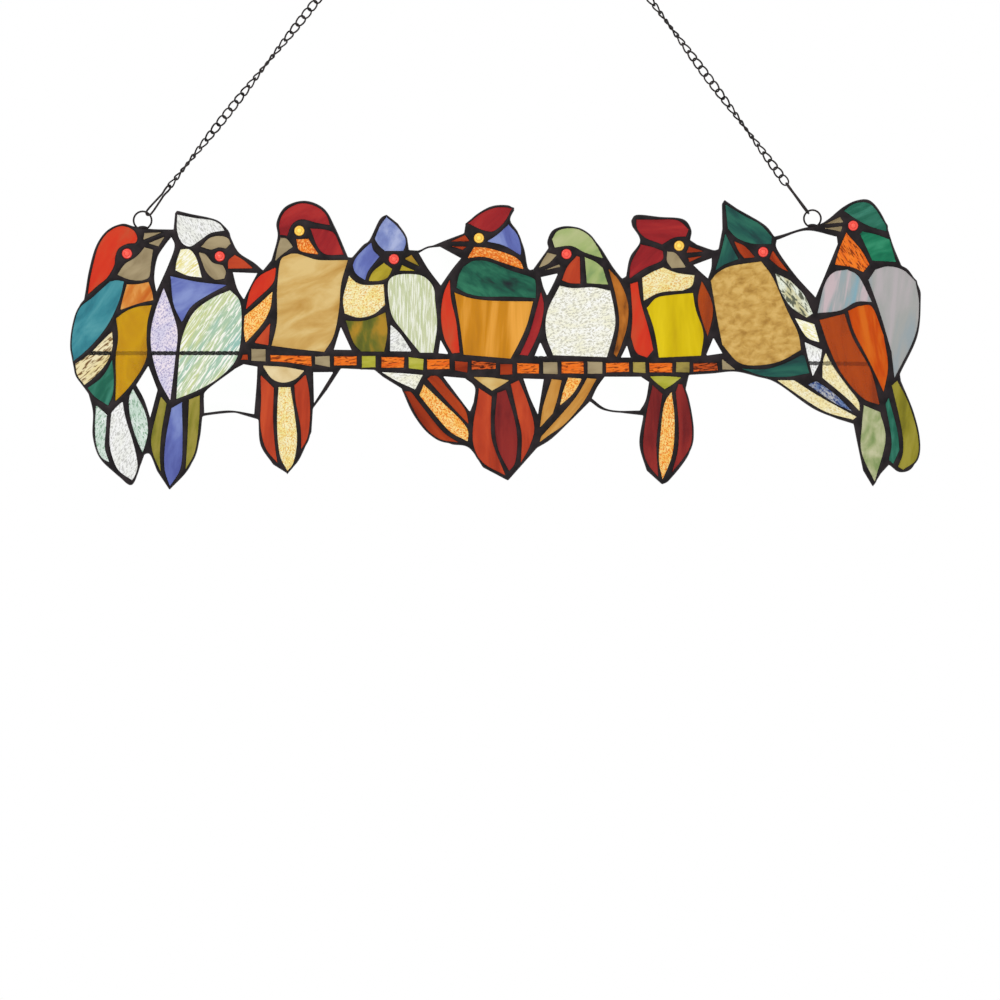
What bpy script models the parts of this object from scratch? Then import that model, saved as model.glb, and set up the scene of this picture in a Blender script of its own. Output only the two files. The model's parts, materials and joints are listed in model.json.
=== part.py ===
"""Stained glass panel: birds side by side on a tiled perch, hung by a chain from one point.

X runs along the perch, Z is up and the panel's front faces -Y. The origin is the hanging point,
the middle of the chain's top link. The birds are drawn as a cartoon, as a glazier draws one: each
pane is a list of sides, a side starts at a corner and runs smoothly through its points, and a
slash starts the next side. The cartoon is in squares, and PANEL_LENGTH says how large it is made.
"""
import math

import bmesh
import bpy
from mathutils import Matrix, Vector
from mathutils.geometry import delaunay_2d_cdt

PANEL_LENGTH = 0.612  # over the outermost lead, from the first bird's back to the last bird's wing
CARTOON_LEFT = 70.0
CARTOON_RIGHT = 920.5
SQUARE = PANEL_LENGTH / (CARTOON_RIGHT - CARTOON_LEFT)
HANGING_POINT = (489.5, -217.6)  # in squares, counted downwards from the cartoon's top

LEAD_DEPTH = 0.0050  # front to back over the solder beads
GLASS_THICKNESS = 0.0030
SEAT_GAP = 0.0003  # round every pane that is its own solid
EDGE_LEAD = 0.0012  # the least width of solder outside the outermost glass
WIRE_DIAMETER = 0.0013  # of the two rings
HOOK_WIRE_DIAMETER = 0.0013
LINK_WIRE_DIAMETER = 0.00115
LINK_WIDTH = 0.0062
LINK_PITCH = 0.0070
LINK_DEPTH = 0.0019
TOP_LINK_LENGTH = 0.0093  # between the wire's centres, as is the next
TOP_LINK_WIDTH = 0.0070
TOP_LINK_SIDES = 16
LINK_WAIST = 0.0034  # where a link passes through the next
CHAIN_TURN = math.radians(60)  # of the first link, from the panel's plane
TWIST_PER_LINK = math.radians(9)
BRACE_DIAMETER = 0.0021
EYE_DIAMETER = 0.0076
EYE_SIDES = 12
EYE_DOME = 0.0032  # how far an eye's dome stands in front of the glass's middle plane
HOOK_LENGTH = 0.0270
OWN_PANES = 40  # this many of the largest panes are solids of their own, the rest are fused in the lead
FINE = 0.45  # how far a simplified curve may leave the drawn one, in squares
COARSE = 0.70
WELD = 0.000001
METAL = (0.06, 0.055, 0.05)

GLASS = {
    "red": (0.62, 0.03, 0.03),
    "dark_red": (0.36, 0.02, 0.02),
    "orange_red": (0.80, 0.12, 0.03),
    "orange": (0.86, 0.32, 0.06),
    "gold": (0.90, 0.58, 0.20),
    "amber": (0.72, 0.40, 0.05),
    "yellow": (0.80, 0.66, 0.08),
    "olive": (0.50, 0.52, 0.16),
    "green": (0.04, 0.30, 0.20),
    "pale_green": (0.60, 0.70, 0.45),
    "teal": (0.08, 0.36, 0.38),
    "blue": (0.30, 0.38, 0.74),
    "lavender": (0.66, 0.64, 0.84),
    "tan": (0.46, 0.40, 0.30),
    "beige": (0.80, 0.68, 0.44),
    "opal": (0.78, 0.78, 0.80),
    "ripple": (0.90, 0.91, 0.84),
    "clear": (0.96, 0.97, 0.96),
}

PANES = {
    "bird_1": {
        "cap": ("orange_red", "88,295 89.5,283 92.5,268 98,247.5 106,234.5 117,227 126,226.5 134,230.5"
                " 137.5,237 136,243 127,244.3 119,249 115.7,257 114.5,266 107.5,278 98,286"),
        "beak_upper": ("tan", "144.5,233 / 163.5,232.2 / 143,240.5"),
        "beak_lower": ("tan", "148,243.5 / 165.5,236.3 / 158.7,246.8"),
        "cheek": ("tan", "144.8,247.3 / 153.5,249.5 151.3,265 150,276 146,279.7 138,281 128,279.5"
                  " / 117.3,275 125,264 136,257"),
        "throat": ("orange", "127,284.3 138,284 / 149,281.9 152.5,292 / 153.8,300.5 140,303.5"
                   " / 120,310.5 123,298"),
        "belly": ("amber", "152.2,305 148,322 147,340 147.3,356 141,371 128,389 / 115.2,402"
                  " 115.9,380 115.6,358 118,337 / 116,318.5 126,311 138,306.5"),
        "wing": ("teal", "74,361 71.7,345 74,325 80,308 93,297 / 110,281.5 117,280.2 / 124.5,281.5"
                 " 120,300 110,322 97,340 83,354"),
        "grain_feather": ("ripple", "112.5,330.5 113,347 107,363 96,376 / 84.5,385.5 77,375 / 75,364"
                          " 88,355 101,342"),
        "lower_wing": ("green", "112.5,359 114.2,376 113.3,394 / 108.5,406 95,397 / 87.5,388 100,379"
                       " 107,370"),
        "tail_left": ("ripple", "96,404.5 / 107.3,414.5 106.3,430 105.4,448 / 110,463 101,457 96,444"
                      " 94.8,425"),
        "tail_mid": ("ripple", "123,400.8 126,418 134,444 138,464 136,474 / 132.5,480.8 118,470"
                     " 111,453 109.3,438 / 111,413 116,407"),
        "tail_right": ("ripple", "133,388 145,411 148.4,428 147,440 / 142.8,453.5 136,438 130.5,419"
                       " 128.8,400"),
    },
    "bird_2": {
        "crown": ("ripple", "177,214.3 195,217.8 211,219.8 220,224 / 225,230.8 211,233.5 200,241"
                  " 190,247 181,242 176.8,230"),
        "brow": ("ripple", "201,247 209,238.5 219,235.8 228,238 / 231,244 / 226,249 219,247.8"
                 " 211,250"),
        "beak": ("red", "235,254.8 244,260.3 / 254,268.7 / 228,269 228.5,260.5"),
        "cheek": ("tan", "198.3,252 206,254.5 213,262.5 / 223,265 226.3,272 / 224.5,279 215,279.8"
                  " 206.5,272.5 202,262"),
        "neck": ("ripple", "180.5,249.2 190,249.5 197,259 / 202.3,278 188,276 / 175.2,270.5"
                 " 176.5,261"),
        "chest": ("blue", "170.5,276 195,281.3 212,283.5 / 228,285 209,295 192,306.5 / 182,323"
                  " 173.5,304"),
        "right_wing": ("ripple", "176,399.5 178,370 181.5,339 193,313 212,298 / 230,290 239.5,300"
                       " 242,317 240.5,345 234.5,363 218,379 197,391"),
        "left_wing": ("lavender", "163.8,287 172.5,311 178,333 175.5,360 172.8,384 / 170.5,401.5"
                      " 159,380 152,355 150.5,333 155,311"),
        "tail_left": ("olive", "161,396 / 167,403.5 162,432 160.3,455 / 161.3,473 153,454"
                      " 151.3,437 156,416"),
        "tail_mid": ("blue", "182.3,402 183,440 181,468 / 170,487 164.5,468 165.5,441 / 171.5,408"),
        "tail_right": ("olive", "189,399.5 / 200.3,395 199.5,420 195.5,451 / 185.5,470.5 187.3,440"),
    },
    "bird_3": {
        "cap": ("red", "280,235 279.2,224 284,212.5 295,205 306,203.4 319,208 327,216 / 330.3,225.7"
                " 316,223 302,219.7 292.5,224.5 / 287.5,236.2"),
        "face": ("dark_red", "310.3,228.5 323,229.3 334,233 339.5,244 / 344,255 326,254.8 317,246"),
        "throat": ("gold", "296.3,239.3 / 308.7,238.8 312.5,245 / 319.3,255 306,253 298.5,249.5"),
        "nape": ("tan", "280.5,237.6 287,238.8 / 293.3,247 283,254.5 / 274.8,262 277,250"),
        "body": ("beige", "271.5,346 276.8,322 277,290 280,262 287,255.3 296,253.5 308,257 320,260"
                 " / 348.2,260 341.5,284 339.3,310 334,336 / 324.5,352.2 298,349.5"),
        "wing_red": ("red", "276.3,267 275,279 270,287.5 257,299.5 / 245.5,310.3 250,291 259,276.5"),
        "wing_orange": ("orange", "273,291 270.5,309 262,325 / 245.5,343.5 243.8,330 / 244.5,316"
                        " 259,304"),
        "wing_lower": ("red", "270.7,322.5 / 268.7,345.7 / 253.8,343 263,331.5"),
        "under": ("beige", "262.3,365.5 284,366.8 / 305.3,370.5 295.5,379.5 283,382.9 271.5,378.5"),
        "tail_left": ("red", "260.5,374.5 / 274.3,388 273.5,420 275.5,447 / 278,463.8 265.5,448"
                      " 260.3,425 261,400"),
        "tail_mid": ("gold", "278.5,387 / 290.7,387 295,414 297.4,440 294,462 / 287.5,471.5 280,456"
                     " 277.2,432 277.2,408"),
        "tail_right": ("red", "306,374 309.5,392 310.4,415 308,437 / 301,450.5 300.5,428 295.5,401"
                       " / 294.3,385.3"),
    },
    "bird_4": {
        "crest": ("blue", "386.5,217 396,225 404.5,236 406,244 / 403.3,251.3 / 385,251.3 379,246"
                  " / 374.5,239 380,226"),
        "head": ("green", "371.5,242 373.5,250 / 379.8,256.7 369,270.5 / 365.3,280.7 356,274"
                 " 353,264.5 358.5,254.5"),
        "cheek": ("gold", "384,262.8 / 392.6,269 388,277.5 380,281 / 368,281.6 373,271.5"),
        "beak_upper": ("olive", "404,259 / 411.5,254.8 / 420.5,267.3"),
        "beak_lower": ("olive", "402,265 / 416,271.2 / 399.5,271"),
        "chest": ("ripple", "349,275.5 357,282.7 367,285 / 384,284.2 / 385.2,305 374,314.5 359,318"
                  " / 344.5,313.8 343,298"),
        "belly": ("olive", "345.5,320.5 362,320.9 374,317.5 / 385.7,312 387.7,332 / 384.5,352"
                  " / 361,351.8 353,342"),
        "wing": ("ripple", "420,353 404,333 392,316 388,295 388.5,281 396,275 411,273.8 424,276.5"
                 " 433.5,287 435.5,302 437.3,326 / 433.5,353"),
        "small_triangle": ("ripple", "390.3,324 401,334.5 / 412.3,351.8 / 389.8,351.5"),
        "under": ("ripple", "380.5,371.8 402,373 / 423.2,374.8 / 415.3,389.8 397,381.5"),
        "tail_left": ("dark_red", "404.5,391.5 411,392 419,402 437,425 447,435 / 460,443 438,438.5"
                      " 420,421"),
        "tail_mid": ("gold", "423.7,384.3 444,403.5 461,420 468.3,431 / 467.8,441.8 449,431 430,409"
                     " / 419.2,395.3"),
        "tail_right": ("dark_red", "430.5,376 438,376.5 449,389.5 465,409 / 469,425 452,407 434,387"
                       " / 427,379"),
    },
    "bird_5": {
        "crest": ("red", "468,223.5 481,213.5 494,208 505,207.3 / 512,208.7 505.5,221 497,229.5"
                  " 490.5,232 480,229.5"),
        "head": ("blue", "508.5,224.5 517.5,235 521,247 / 521,256 504,246 / 486.3,241.7 497,234.8"),
        "beak_upper": ("orange_red", "450,241.8 / 465,235 / 470.3,241.6"),
        "beak_lower": ("orange_red", "452,246.5 / 467.5,246.5 / 462.5,250.3"),
        "collar": ("orange", "467,258.7 / 474,246.8 490,248.5 511,255 520,261 / 524.3,270 504,263.5"
                   " 484,257.3"),
        "chest": ("green", "456.2,288 458.5,276 / 463,267 474,260.7 490,261.8 511,270.5 532,277.5"
                  " 536,284 / 536,298.5 510,297 484,297 468,294"),
        "belly": ("amber", "454.3,292.5 472,298.3 495,300.7 / 533.4,301.3 527.5,324 520,341.5"
                  " / 510.7,359 / 463.5,355 459.8,326"),
        "left_wing": ("orange_red", "450,279 451.5,300 456.5,322 / 459.9,353 / 452,353.7 444,338"
                      " 440.8,316 443.5,294"),
        "right_wing": ("dark_red", "541,291 544,306 541,326 535.5,341 / 528,356 / 519.5,355"
                       " 529,334 536,310"),
        "under": ("amber", "472.5,376.8 492,377.5 / 510,380.3 501,386 / 492,391 482,384"),
        "tail_left": ("orange_red", "478.8,388 / 492,396.5 491,420 493,443 / 506,476 483,463 473.5,446"
                      " 473,425 477,402"),
        "tail_mid": ("dark_red", "497,393 / 506,389.5 514.5,418 517.5,440 515.5,462 / 509,471.5"
                     " 498,449 494.5,425"),
        "tail_right": ("red", "510.5,384 / 519,380 528,402 534.5,427 530,446 / 520.5,464 521.5,436"
                       " 517,414"),
    },
    "bird_6": {
        "cap": ("pale_green", "551.8,239.5 557,231.3 567,228.3 579,229.5 590,236.5 598,248"
                " / 603.5,259 585,253 571,246.3 / 554.5,248"),
        "beak_upper": ("tan", "538.5,268.5 542,261 / 547.5,252.5 / 557,255 549,263.5"),
        "beak_lower": ("tan", "542,271 / 559,264.3 / 561.5,267"),
        "face": ("red", "576.5,256 / 580,256.8 / 580.5,284 570,283.5 / 561.5,280.5 567,267"),
        "neck": ("pale_green", "584.5,257 595,261.5 / 603,268 606,278 / 608.4,285 / 586.5,283.5"),
        "belly": ("ripple", "559.5,285.5 574,288 593,287 / 610.5,290.5 614.5,310 615,328"
                  " / 607,357.5 / 553,355.5 546,335 547,312"),
        "right_wing": ("amber", "608,268 620,282 628,303 627.5,325 621,347 / 616.5,357.5"
                       " / 613.5,354 618.8,325 616,299"),
        "tail_left": ("amber", "551.5,379 / 562,380 557.5,399 / 553,413.5 / 539.5,428.5 543,406"),
        "tail_mid": ("gold", "568,377.5 / 582.5,378.5 573,394 / 559.5,406.3 563,391"),
        "tail_right": ("amber", "587,378 / 596.8,378.8 583,403 565,424 549,435.5 / 539,443"
                       " / 541,436.5 564,411 577,395"),
    },
    "bird_7": {
        "crest": ("red", "636,219.5 655,219.6 677,220.2 / 688.8,229.5 / 686,236.8 674,238"
                  " / 662,244.8 645,238 637,229"),
        "nape": ("dark_red", "641,244.5 652,247 / 663,251 662,260.5 645,268.5 / 629,279.3 631,263"),
        "cheek": ("tan", "667,251.5 676,253.5 / 686.5,267.8 / 671.5,268.5 666.5,261"),
        "beak_upper": ("orange_red", "689,246.5 / 704.5,251.7 / 685.5,253.3"),
        "beak_lower": ("dark_red", "688,258 / 704,255.7 / 689,262.5"),
        "chest": ("gold", "641.8,278 652,272 / 663,267.3 677,272.8 / 694.8,275.3 692,286"
                  " / 683,290.8 660,293 / 643.5,301.2"),
        "belly": ("yellow", "646.5,308 656,298 670,295 / 693,292.8 696,310 703.5,333 / 701,356"
                  " / 658.6,358 654,331"),
        "left_wing": ("red", "630,284 / 637.7,281.5 641,302 649,330 / 653.5,350 / 647,358 636,352.5"
                      " / 630.5,337 632,316"),
        "right_wing": ("orange_red", "701.5,280 711,299 713,315 / 707.6,337.5 701,318 697.5,300"),
        "under": ("green", "649,376.2 665,376 / 682,377.2 672,385 / 664.5,389.5 656,383"),
        "tail_left": ("dark_red", "652.5,385 / 662.5,394 659,420 656.5,445 / 658.5,478 647,463"
                      " 642.8,445 646.5,412"),
        "tail_mid": ("gold", "671.6,391 674.7,420 672.5,454 / 662.4,480.6 658.6,460 660.5,430"
                     " 664,404"),
        "tail_right": ("dark_red", "678,384 / 682.2,384.3 688,402 692.2,430 688.8,450"
                       " / 671.3,473.5 677.5,450 678.3,425 / 675.5,392"),
    },
    "bird_8": {
        "crest": ("green", "724.8,204 / 742,214.5 760,224.5 / 772,237 / 771.3,244.5 752,244"
                  " 737,238.5 / 727.5,229"),
        "cheek": ("orange_red", "733.5,241 745,246.5 / 755.5,257.8 / 744,258.5 738,251"),
        "neck": ("green", "725,233 731,245 / 738.5,259.3 / 724,265 / 714.5,271.5 720,254"),
        "beak": ("red", "772.5,250 779,259.5 / 789,272.5 779,267.5 / 769,259"),
        "body": ("beige", "710.5,281 717,273 731,266 / 761,261.3 773,278 787,310 798,333"
                 " / 801,350 780,361.5 757,365.7 738,362.5 / 722,345 717,320"),
        "wing_upper": ("ripple", "774.5,272.5 / 790,280 804,294.5 / 813,313.5 / 806.5,318 791,307.5"
                       " 780,291"),
        "wing_middle": ("ripple", "794,317.5 / 814.5,324 / 820,343 806,337"),
        "wing_lower": ("ripple", "804,341.5 / 822.4,349.7 820,362 / 812.5,377.3 808.5,362"),
        "feather": ("gold", "825.5,352 833,366 847,385.5 858.5,401 / 859.8,412 846,398 / 822,378"
                    " 822.5,362"),
        "tail_upper": ("ripple", "807,384.5 / 816.5,381 835,394 / 853.5,412.5 833,402.5"),
        "tail_lower": ("gold", "776,380 / 794,380 820,396.5 / 857,416.8 / 853,420 829,413.5"
                       " 811,404"),
        "tail_base": ("green", "740,368.5 765,369 785,363 / 801,355 / 804.5,355.5 / 809.5,373.5"
                      " 785,377.3 762,376"),
    },
    "bird_9": {
        "cap": ("green", "843.5,211 853,204 865,202.3 874,207.5 / 886.3,226 / 886.5,232 869,226.5"
                " 855,219"),
        "nape": ("green", "859.5,234 / 862,231.3 876,234.5 / 889.5,239.5 / 896,262.3 / 872,261"),
        "beak_upper": ("tan", "824,224.5 / 840,216.8 / 843.5,222.7"),
        "beak_lower": ("tan", "824,228.5 / 843,226 / 840.5,232"),
        "throat": ("orange", "846,232.5 861,250 / 869.5,264.5 / 863,272.5 851,267.5 / 834.5,265"
                   " 839,249"),
        "chest": ("opal", "847,269.5 859,277 / 872,302.3 856,302.3 840,310.8 / 817,313.5 824,285"
                  " 833,272.5"),
        "wing": ("opal", "868,280 / 875,269.5 888,266.3 903,270 / 915.5,281.5 919,306 914.5,337"
                 " / 894,379 / 891,352 879.5,313"),
        "body_left": ("orange", "819,320 / 844.5,313.5 853,338 871,371 / 880,405.5 862,398"
                      " 842,375 829,349"),
        "body_right": ("orange", "847.5,311 / 858,306 872,307 / 883.5,335 888,366 / 883.5,393"
                       " 870,364 854,333"),
        "tail_left": ("pale_green", "863.5,405 / 880,412 885.5,440 / 874.5,482.5 861,452"
                      " 861.5,425"),
        "tail_mid": ("green", "888.5,397 897,429 / 899.5,450 / 893,464.5 / 888.5,460 891,440"
                     " / 885,404"),
        "tail_right": ("olive", "891.3,385.6 / 897,380.3 909,404.5 918,437 916.5,459"
                       " / 903,470 / 897.5,467 902.5,452 901,428"),
    },
    "perch": {
        "tile_01": ("orange_red", "241,360 / 243,354.5 / 248,354.5 / 248.3,360"),
        "tile_02": ("tan", "251.3,348.8 / 266,349 / 266,361.8 / 251.3,361"),
        "tile_03": ("orange", "270.5,355 / 311.5,356 / 312,366.5 290,363 / 270.5,361.5"),
        "tile_04": ("tan", "315,356.5 / 330,355.7 / 330.3,367.5 / 315,364.5"),
        "tile_05": ("orange", "334,356.5 / 357,356 / 357,365.5 / 334,365.8"),
        "tile_06": ("yellow", "361.8,356 / 375.8,355.8 / 375.8,367.5 / 361.8,368"),
        "tile_07": ("orange", "381.3,357 / 404.7,357 / 404,368 / 381.3,368"),
        "tile_08": ("yellow", "408.5,357 / 424,359 / 423.3,370.3 / 408.5,368.5"),
        "tile_09": ("orange", "427,359.5 / 449.6,359 / 449.8,369.3 / 427,369.8"),
        "tile_10": ("orange_red", "454.8,361 / 468,362 / 467.5,373 / 454.8,370.5"),
        "tile_11": ("orange", "471.5,360.5 / 496,363 / 496,369 / 471.5,370"),
        "tile_12": ("orange_red", "500,364 / 512.5,364 / 512.5,374.8 / 500,375"),
        "tile_13": ("orange", "517,363 / 539.3,363.8 / 539,373.8 / 517,373.5"),
        "tile_14": ("tan", "543,362 / 557.5,362 / 558,374.5 / 543,374"),
        "tile_15": ("orange", "561.3,361.8 / 583.6,361.5 / 584,374 / 561.3,373.5"),
        "tile_16": ("tan", "587.3,361.5 / 602.5,361.8 / 602.5,374 / 587.3,374"),
        "tile_17": ("orange", "605.8,363 / 629,362.5 / 629.3,372 / 605.8,372.8"),
        "tile_18": ("yellow", "632.8,362 / 645.3,362 / 645.8,373.5 / 632.8,372.5"),
        "tile_19": ("orange", "649,363 / 672.3,362.8 / 672.3,372.8 / 649.2,372.5"),
        "tile_20": ("yellow", "676,362 / 689.6,362 / 689.6,372.8 / 675.7,372.5"),
        "tile_21": ("orange", "693,363 / 717,362.8 / 718,370.5 / 693.3,372"),
        "tile_22": ("tan", "721.5,358.5 / 736,370 / 722,369.8"),
    },
    "infill": {
        "neck_1_2": ("clear", "171.5,236.5 175,247 168,267 / 156.3,293 154,277 157,258 164,246"),
        "tail_1_2": ("clear", "148.5,365 / 158,390 / 150.3,419 144,400 / 136,385"),
        "neck_2_3": ("clear", "232.5,272 / 258,273 250.5,287 / 244,300.3 237,288.5"),
        "tail_2_3": ("clear", "243.5,364 / 257.8,366.5 257,384 / 254.5,414.5 230,410.8 / 204,413.3"
                     " / 203.5,398 207,389.5 / 235,368.5"),
        "wing_3_4": ("clear", "340.8,326 / 352,350.3 / 333.5,350"),
        "tail_3": ("clear", "313,372 / 334,371.8 324,388 / 313.8,404.3"),
        "neck_4_5": ("clear", "418.5,253 428,248 / 439,246 / 456,254.5 / 455.5,267 446,277"
                     " / 439.5,286 428,269"),
        "wing_4_5": ("clear", "440.3,339 / 449,354.5 / 438.2,353.5"),
        "tail_4_5": ("clear", "442.5,376 / 465,378 475,387 / 474,402 / 470,412.5 459,398"),
        "neck_5_6": ("clear", "540.5,277 / 558.5,273 553,285 / 547,296.5 543,287"),
        "wing_5_6": ("clear", "540.3,341.5 / 547.5,357 / 533.5,358"),
        "tail_5_6": ("clear", "523,378.3 / 544,379 541,397 / 538,415.5 530,398"),
        "wing_6_7": ("clear", "627,344.5 / 631,357.8 / 620.5,357.8"),
        "tail_6_7": ("clear", "604.5,376.5 / 641,376.5 / 649.3,382 646,400 / 640,410.8 618,411"
                     " 604,408 / 591.5,398.5 597,387"),
        "neck_7_8": ("clear", "692.8,265 / 712,257.8 711.5,268 / 708,279 700,272"),
        "wing_7_8": ("clear", "713.3,337 / 722.8,353.5 / 705.5,356"),
        "neck_8_9": ("clear", "776.2,240 806,230.3 / 837,236.5 / 838,244 826.5,272 / 815.5,298"
                     " 795,275.5 777,250"),
    },
}

EYES = {
    "bird_1": ("red", 127.3, 253.8),
    "bird_2": ("red", 220.0, 256.5),
    "bird_3": ("yellow", 299.5, 231.0),
    "bird_4": ("red", 394.0, 259.3),
    "bird_5": ("yellow", 479.0, 238.3),
    "bird_6": ("red", 566.5, 254.2),
    "bird_7": ("yellow", 679.0, 246.0),
    "bird_8": ("red", 763.0, 252.2),
    "bird_9": ("red", 852.9, 225.9),
}

# the lead's silhouette, clockwise from the first bird's back, solder points and fillets included
SILHOUETTE = (
    "70.2,350 72.5,326 79,306.5 / 84,299.5 / 85.3,292 89,270 96,246 107,230.5 122,223.7 134,226.3"
    " 150,228.8 / 173.5,229.5 / 175,213.2 / 177,210.5 190,213.7 215,219.5 228,230 231.5,239"
    " 239,252.5 254,262.5 / 263,270.3 / 271.5,260 277.5,237 276.5,222 285.5,206.5 305,200.7"
    " 324,208.5 335.5,228 / 348,257 / 352,257.5 363,245 369.5,239.8 379.5,219.5 / 386.5,214.5"
    " / 398,223.5 406.3,236 / 409,250 / 418,250.5 433,245.3 446,240 / 464,233.3 / 465.4,224.5"
    " 477,214 492,206 508,205.2 / 514.7,209.5 510.3,220 / 517.5,231 524.3,249 528,268"
    " / 533,269.5 / 548.5,248 547.3,241 553,230 567,226 583,230 598,244 613,267 / 622,278.5"
    " / 626,276.5 630,257 640,241 / 632,226 / 631,220.5 637,214.7 660,216.8 683,219 691.3,229.5"
    " / 690.3,240 / 697,244.5 713,250 / 718.5,249 / 722.3,229 / 721.8,204 / 724.5,199.8"
    " / 737,208.5 764,224.3 / 774.5,236.5 / 783,234.3 801,228.6 820,224 / 830,217.8 843,207"
    " 857,200.2 871,201 884,218.5 893,245 / 901.5,265.5 909,270.5 919,287 920.8,300 917.5,336"
    " / 900,374 / 901,381 914,413 920,443 913,467 900,472.3 / 889,464.8 / 881,473.5"
    " / 872.8,486.8 / 863,470.5 857,442 / 853.5,424 / 838,419.2 812,408 777,383.3 757,376.7"
    " 735,371.7 712,373.6 / 689,375 / 685.5,390 / 693.5,427 689,454 670,479.5 / 662,484.5"
    " / 646.5,470.5 639.3,444 / 643.3,415.5 / 625,413.4 603,410 / 590,401.5 / 573,418.5"
    " 552,438.5 / 537,448 / 522,465 / 508,480.7 / 483,467.5 469,448 / 452,444.5 430,435 413,414"
    " / 401.5,388.5 / 383,377 / 374.5,370 / 341,368.5 / 327,390 / 313,408.5 / 311.5,432 299,460"
    " / 286.5,473 / 273,464.5 260.5,445 / 258.3,419.5 / 243,415 232,412.8 205,415.8"
    " / 202.3,418.5 199,442 189,468.5 / 169.5,490 / 157,471 150,454.5 / 144.5,454.5"
    " / 141.5,463 132,485 / 118,476 100,458.5 92.7,437 92.8,412 / 88.5,394 76,375"
)

RINGS = {
    "left": {"centre": (142.6, 220.4), "radius": 9.0, "foot": 225.3, "hook_turn": math.radians(45)},
    "right": {"centre": (812.4, 218.6), "radius": 8.5, "foot": 222.6, "hook_turn": math.radians(90)},
}

BRACE_PATH = (
    (84, 353), (160, 353), (240, 353), (330, 354), (470, 356.5), (640, 360), (735, 362), (880, 364),
)


def squares(length):
    """A real length in cartoon squares."""
    return length / SQUARE


def at(point, depth=0.0):
    """The world position of a cartoon point."""
    x, y = point
    return Vector(((x - HANGING_POINT[0]) * SQUARE, depth, (HANGING_POINT[1] - y) * SQUARE))


def through(points, steps=6):
    """A smooth curve through the points, its last point left out."""
    padded = [points[0] * 2 - points[1]] + points + [points[-1] * 2 - points[-2]]
    curve = []
    for a, b, c, d in zip(padded, padded[1:], padded[2:], padded[3:]):
        for i in range(steps):
            t = i / steps
            curve.append(
                0.5 * (2 * b + (c - a) * t + (2 * a - 5 * b + 4 * c - d) * t**2
                       + (3 * b - a - 3 * c + d) * t**3)
            )
    return curve


def simplified(points, tolerance):
    """The points that a run needs to stay within tolerance of itself, ends included."""
    first, last = points[0], points[-1]
    along = last - first
    length = along.length
    worst, index = 0.0, 0
    for i, p in enumerate(points[1:-1], 1):
        away = p - first
        off = abs(along.x * away.y - along.y * away.x) / length if length else away.length
        if off > worst:
            worst, index = off, i
    if worst <= tolerance:
        return [first, last]
    return simplified(points[: index + 1], tolerance)[:-1] + simplified(points[index:], tolerance)


def area(loop):
    return 0.5 * sum(a.x * b.y - b.x * a.y for a, b in zip(loop, loop[1:] + loop[:1]))


def outline(text, tolerance):
    """A pane's outline in cartoon squares, counterclockwise as (x, y) pairs."""
    sides = [[Vector(map(float, pair.split(","))) for pair in side.split()] for side in text.split("/")]
    loop = []
    for side, following in zip(sides, sides[1:] + sides[:1]):
        run = side + [following[0]]
        curve = through(run) if len(run) > 2 else [run[0]]
        loop += simplified(curve + [run[-1]], tolerance)[:-1]
    return loop if area(loop) > 0 else loop[::-1]


def offset(loop, distance):
    """The loop moved outwards by distance, or inwards if it is negative, with its sharp tips cut off."""
    moved = []
    for a, b, c in zip(loop[-1:] + loop[:-1], loop, loop[1:] + loop[:1]):
        into, out = (b - a).normalized(), (c - b).normalized()
        n_in, n_out = Vector((into.y, -into.x)), Vector((out.y, -out.x))
        cosine = n_in.dot(n_out)
        if cosine > -0.1 or distance < 0:
            moved.append(b + (n_in + n_out) * (distance / (1 + max(cosine, -0.85))))
        else:
            moved.append(b + (n_in + into) * distance)
            moved.append(b + (n_out - out) * distance)
    return moved


def circle(x, y, radius, sides=12):
    turn = 2 * math.pi / sides
    return [Vector((x + radius * math.cos(i * turn), y + radius * math.sin(i * turn))) for i in range(sides)]


def arrangement(loops):
    """Triangulates the loops together. Each triangle comes with the numbers of the loops round it."""
    points, faces = [], []
    for loop in loops:
        faces.append(list(range(len(points), len(points) + len(loop))))
        points += loop
    verts, _, triangles, _, _, inside = delaunay_2d_cdt(points, [], faces, 0, 1e-4, True)
    return verts, triangles, inside


def outer_loop(loops, tolerance):
    """The longest outline round all the loops together."""
    verts, triangles, inside = arrangement(loops)
    following = {}
    edges = {(t[i], t[(i + 1) % 3]) for t, within in zip(triangles, inside) if within for i in range(3)}
    for a, b in edges:
        if (b, a) not in edges:
            following[a] = b
    best = []
    while following:
        start, current = next(iter(following.items()))
        del following[start]
        loop = [start]
        while current != start:
            loop.append(current)
            current = following.pop(current)
        if len(loop) > len(best):
            best = loop
    points = [verts[i] for i in best]
    half = len(points) // 2
    return (simplified(points[: half + 1], tolerance)[:-1]
            + simplified(points[half:] + points[:1], tolerance)[:-1])


def finish(item, colour, roughness, group, alpha=1.0):
    """Puts the object in its collection and gives it its own material."""
    group.objects.link(item)
    material = bpy.data.materials.new(item.name)
    material.use_nodes = True
    shader = material.node_tree.nodes["Principled BSDF"]
    shader.inputs["Base Color"].default_value = (*colour, 1)
    shader.inputs["Roughness"].default_value = roughness
    shader.inputs["Alpha"].default_value = alpha
    shader.inputs["Metallic"].default_value = 0.0 if alpha < 1 else 0.9
    item.data.materials.append(material)


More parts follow.
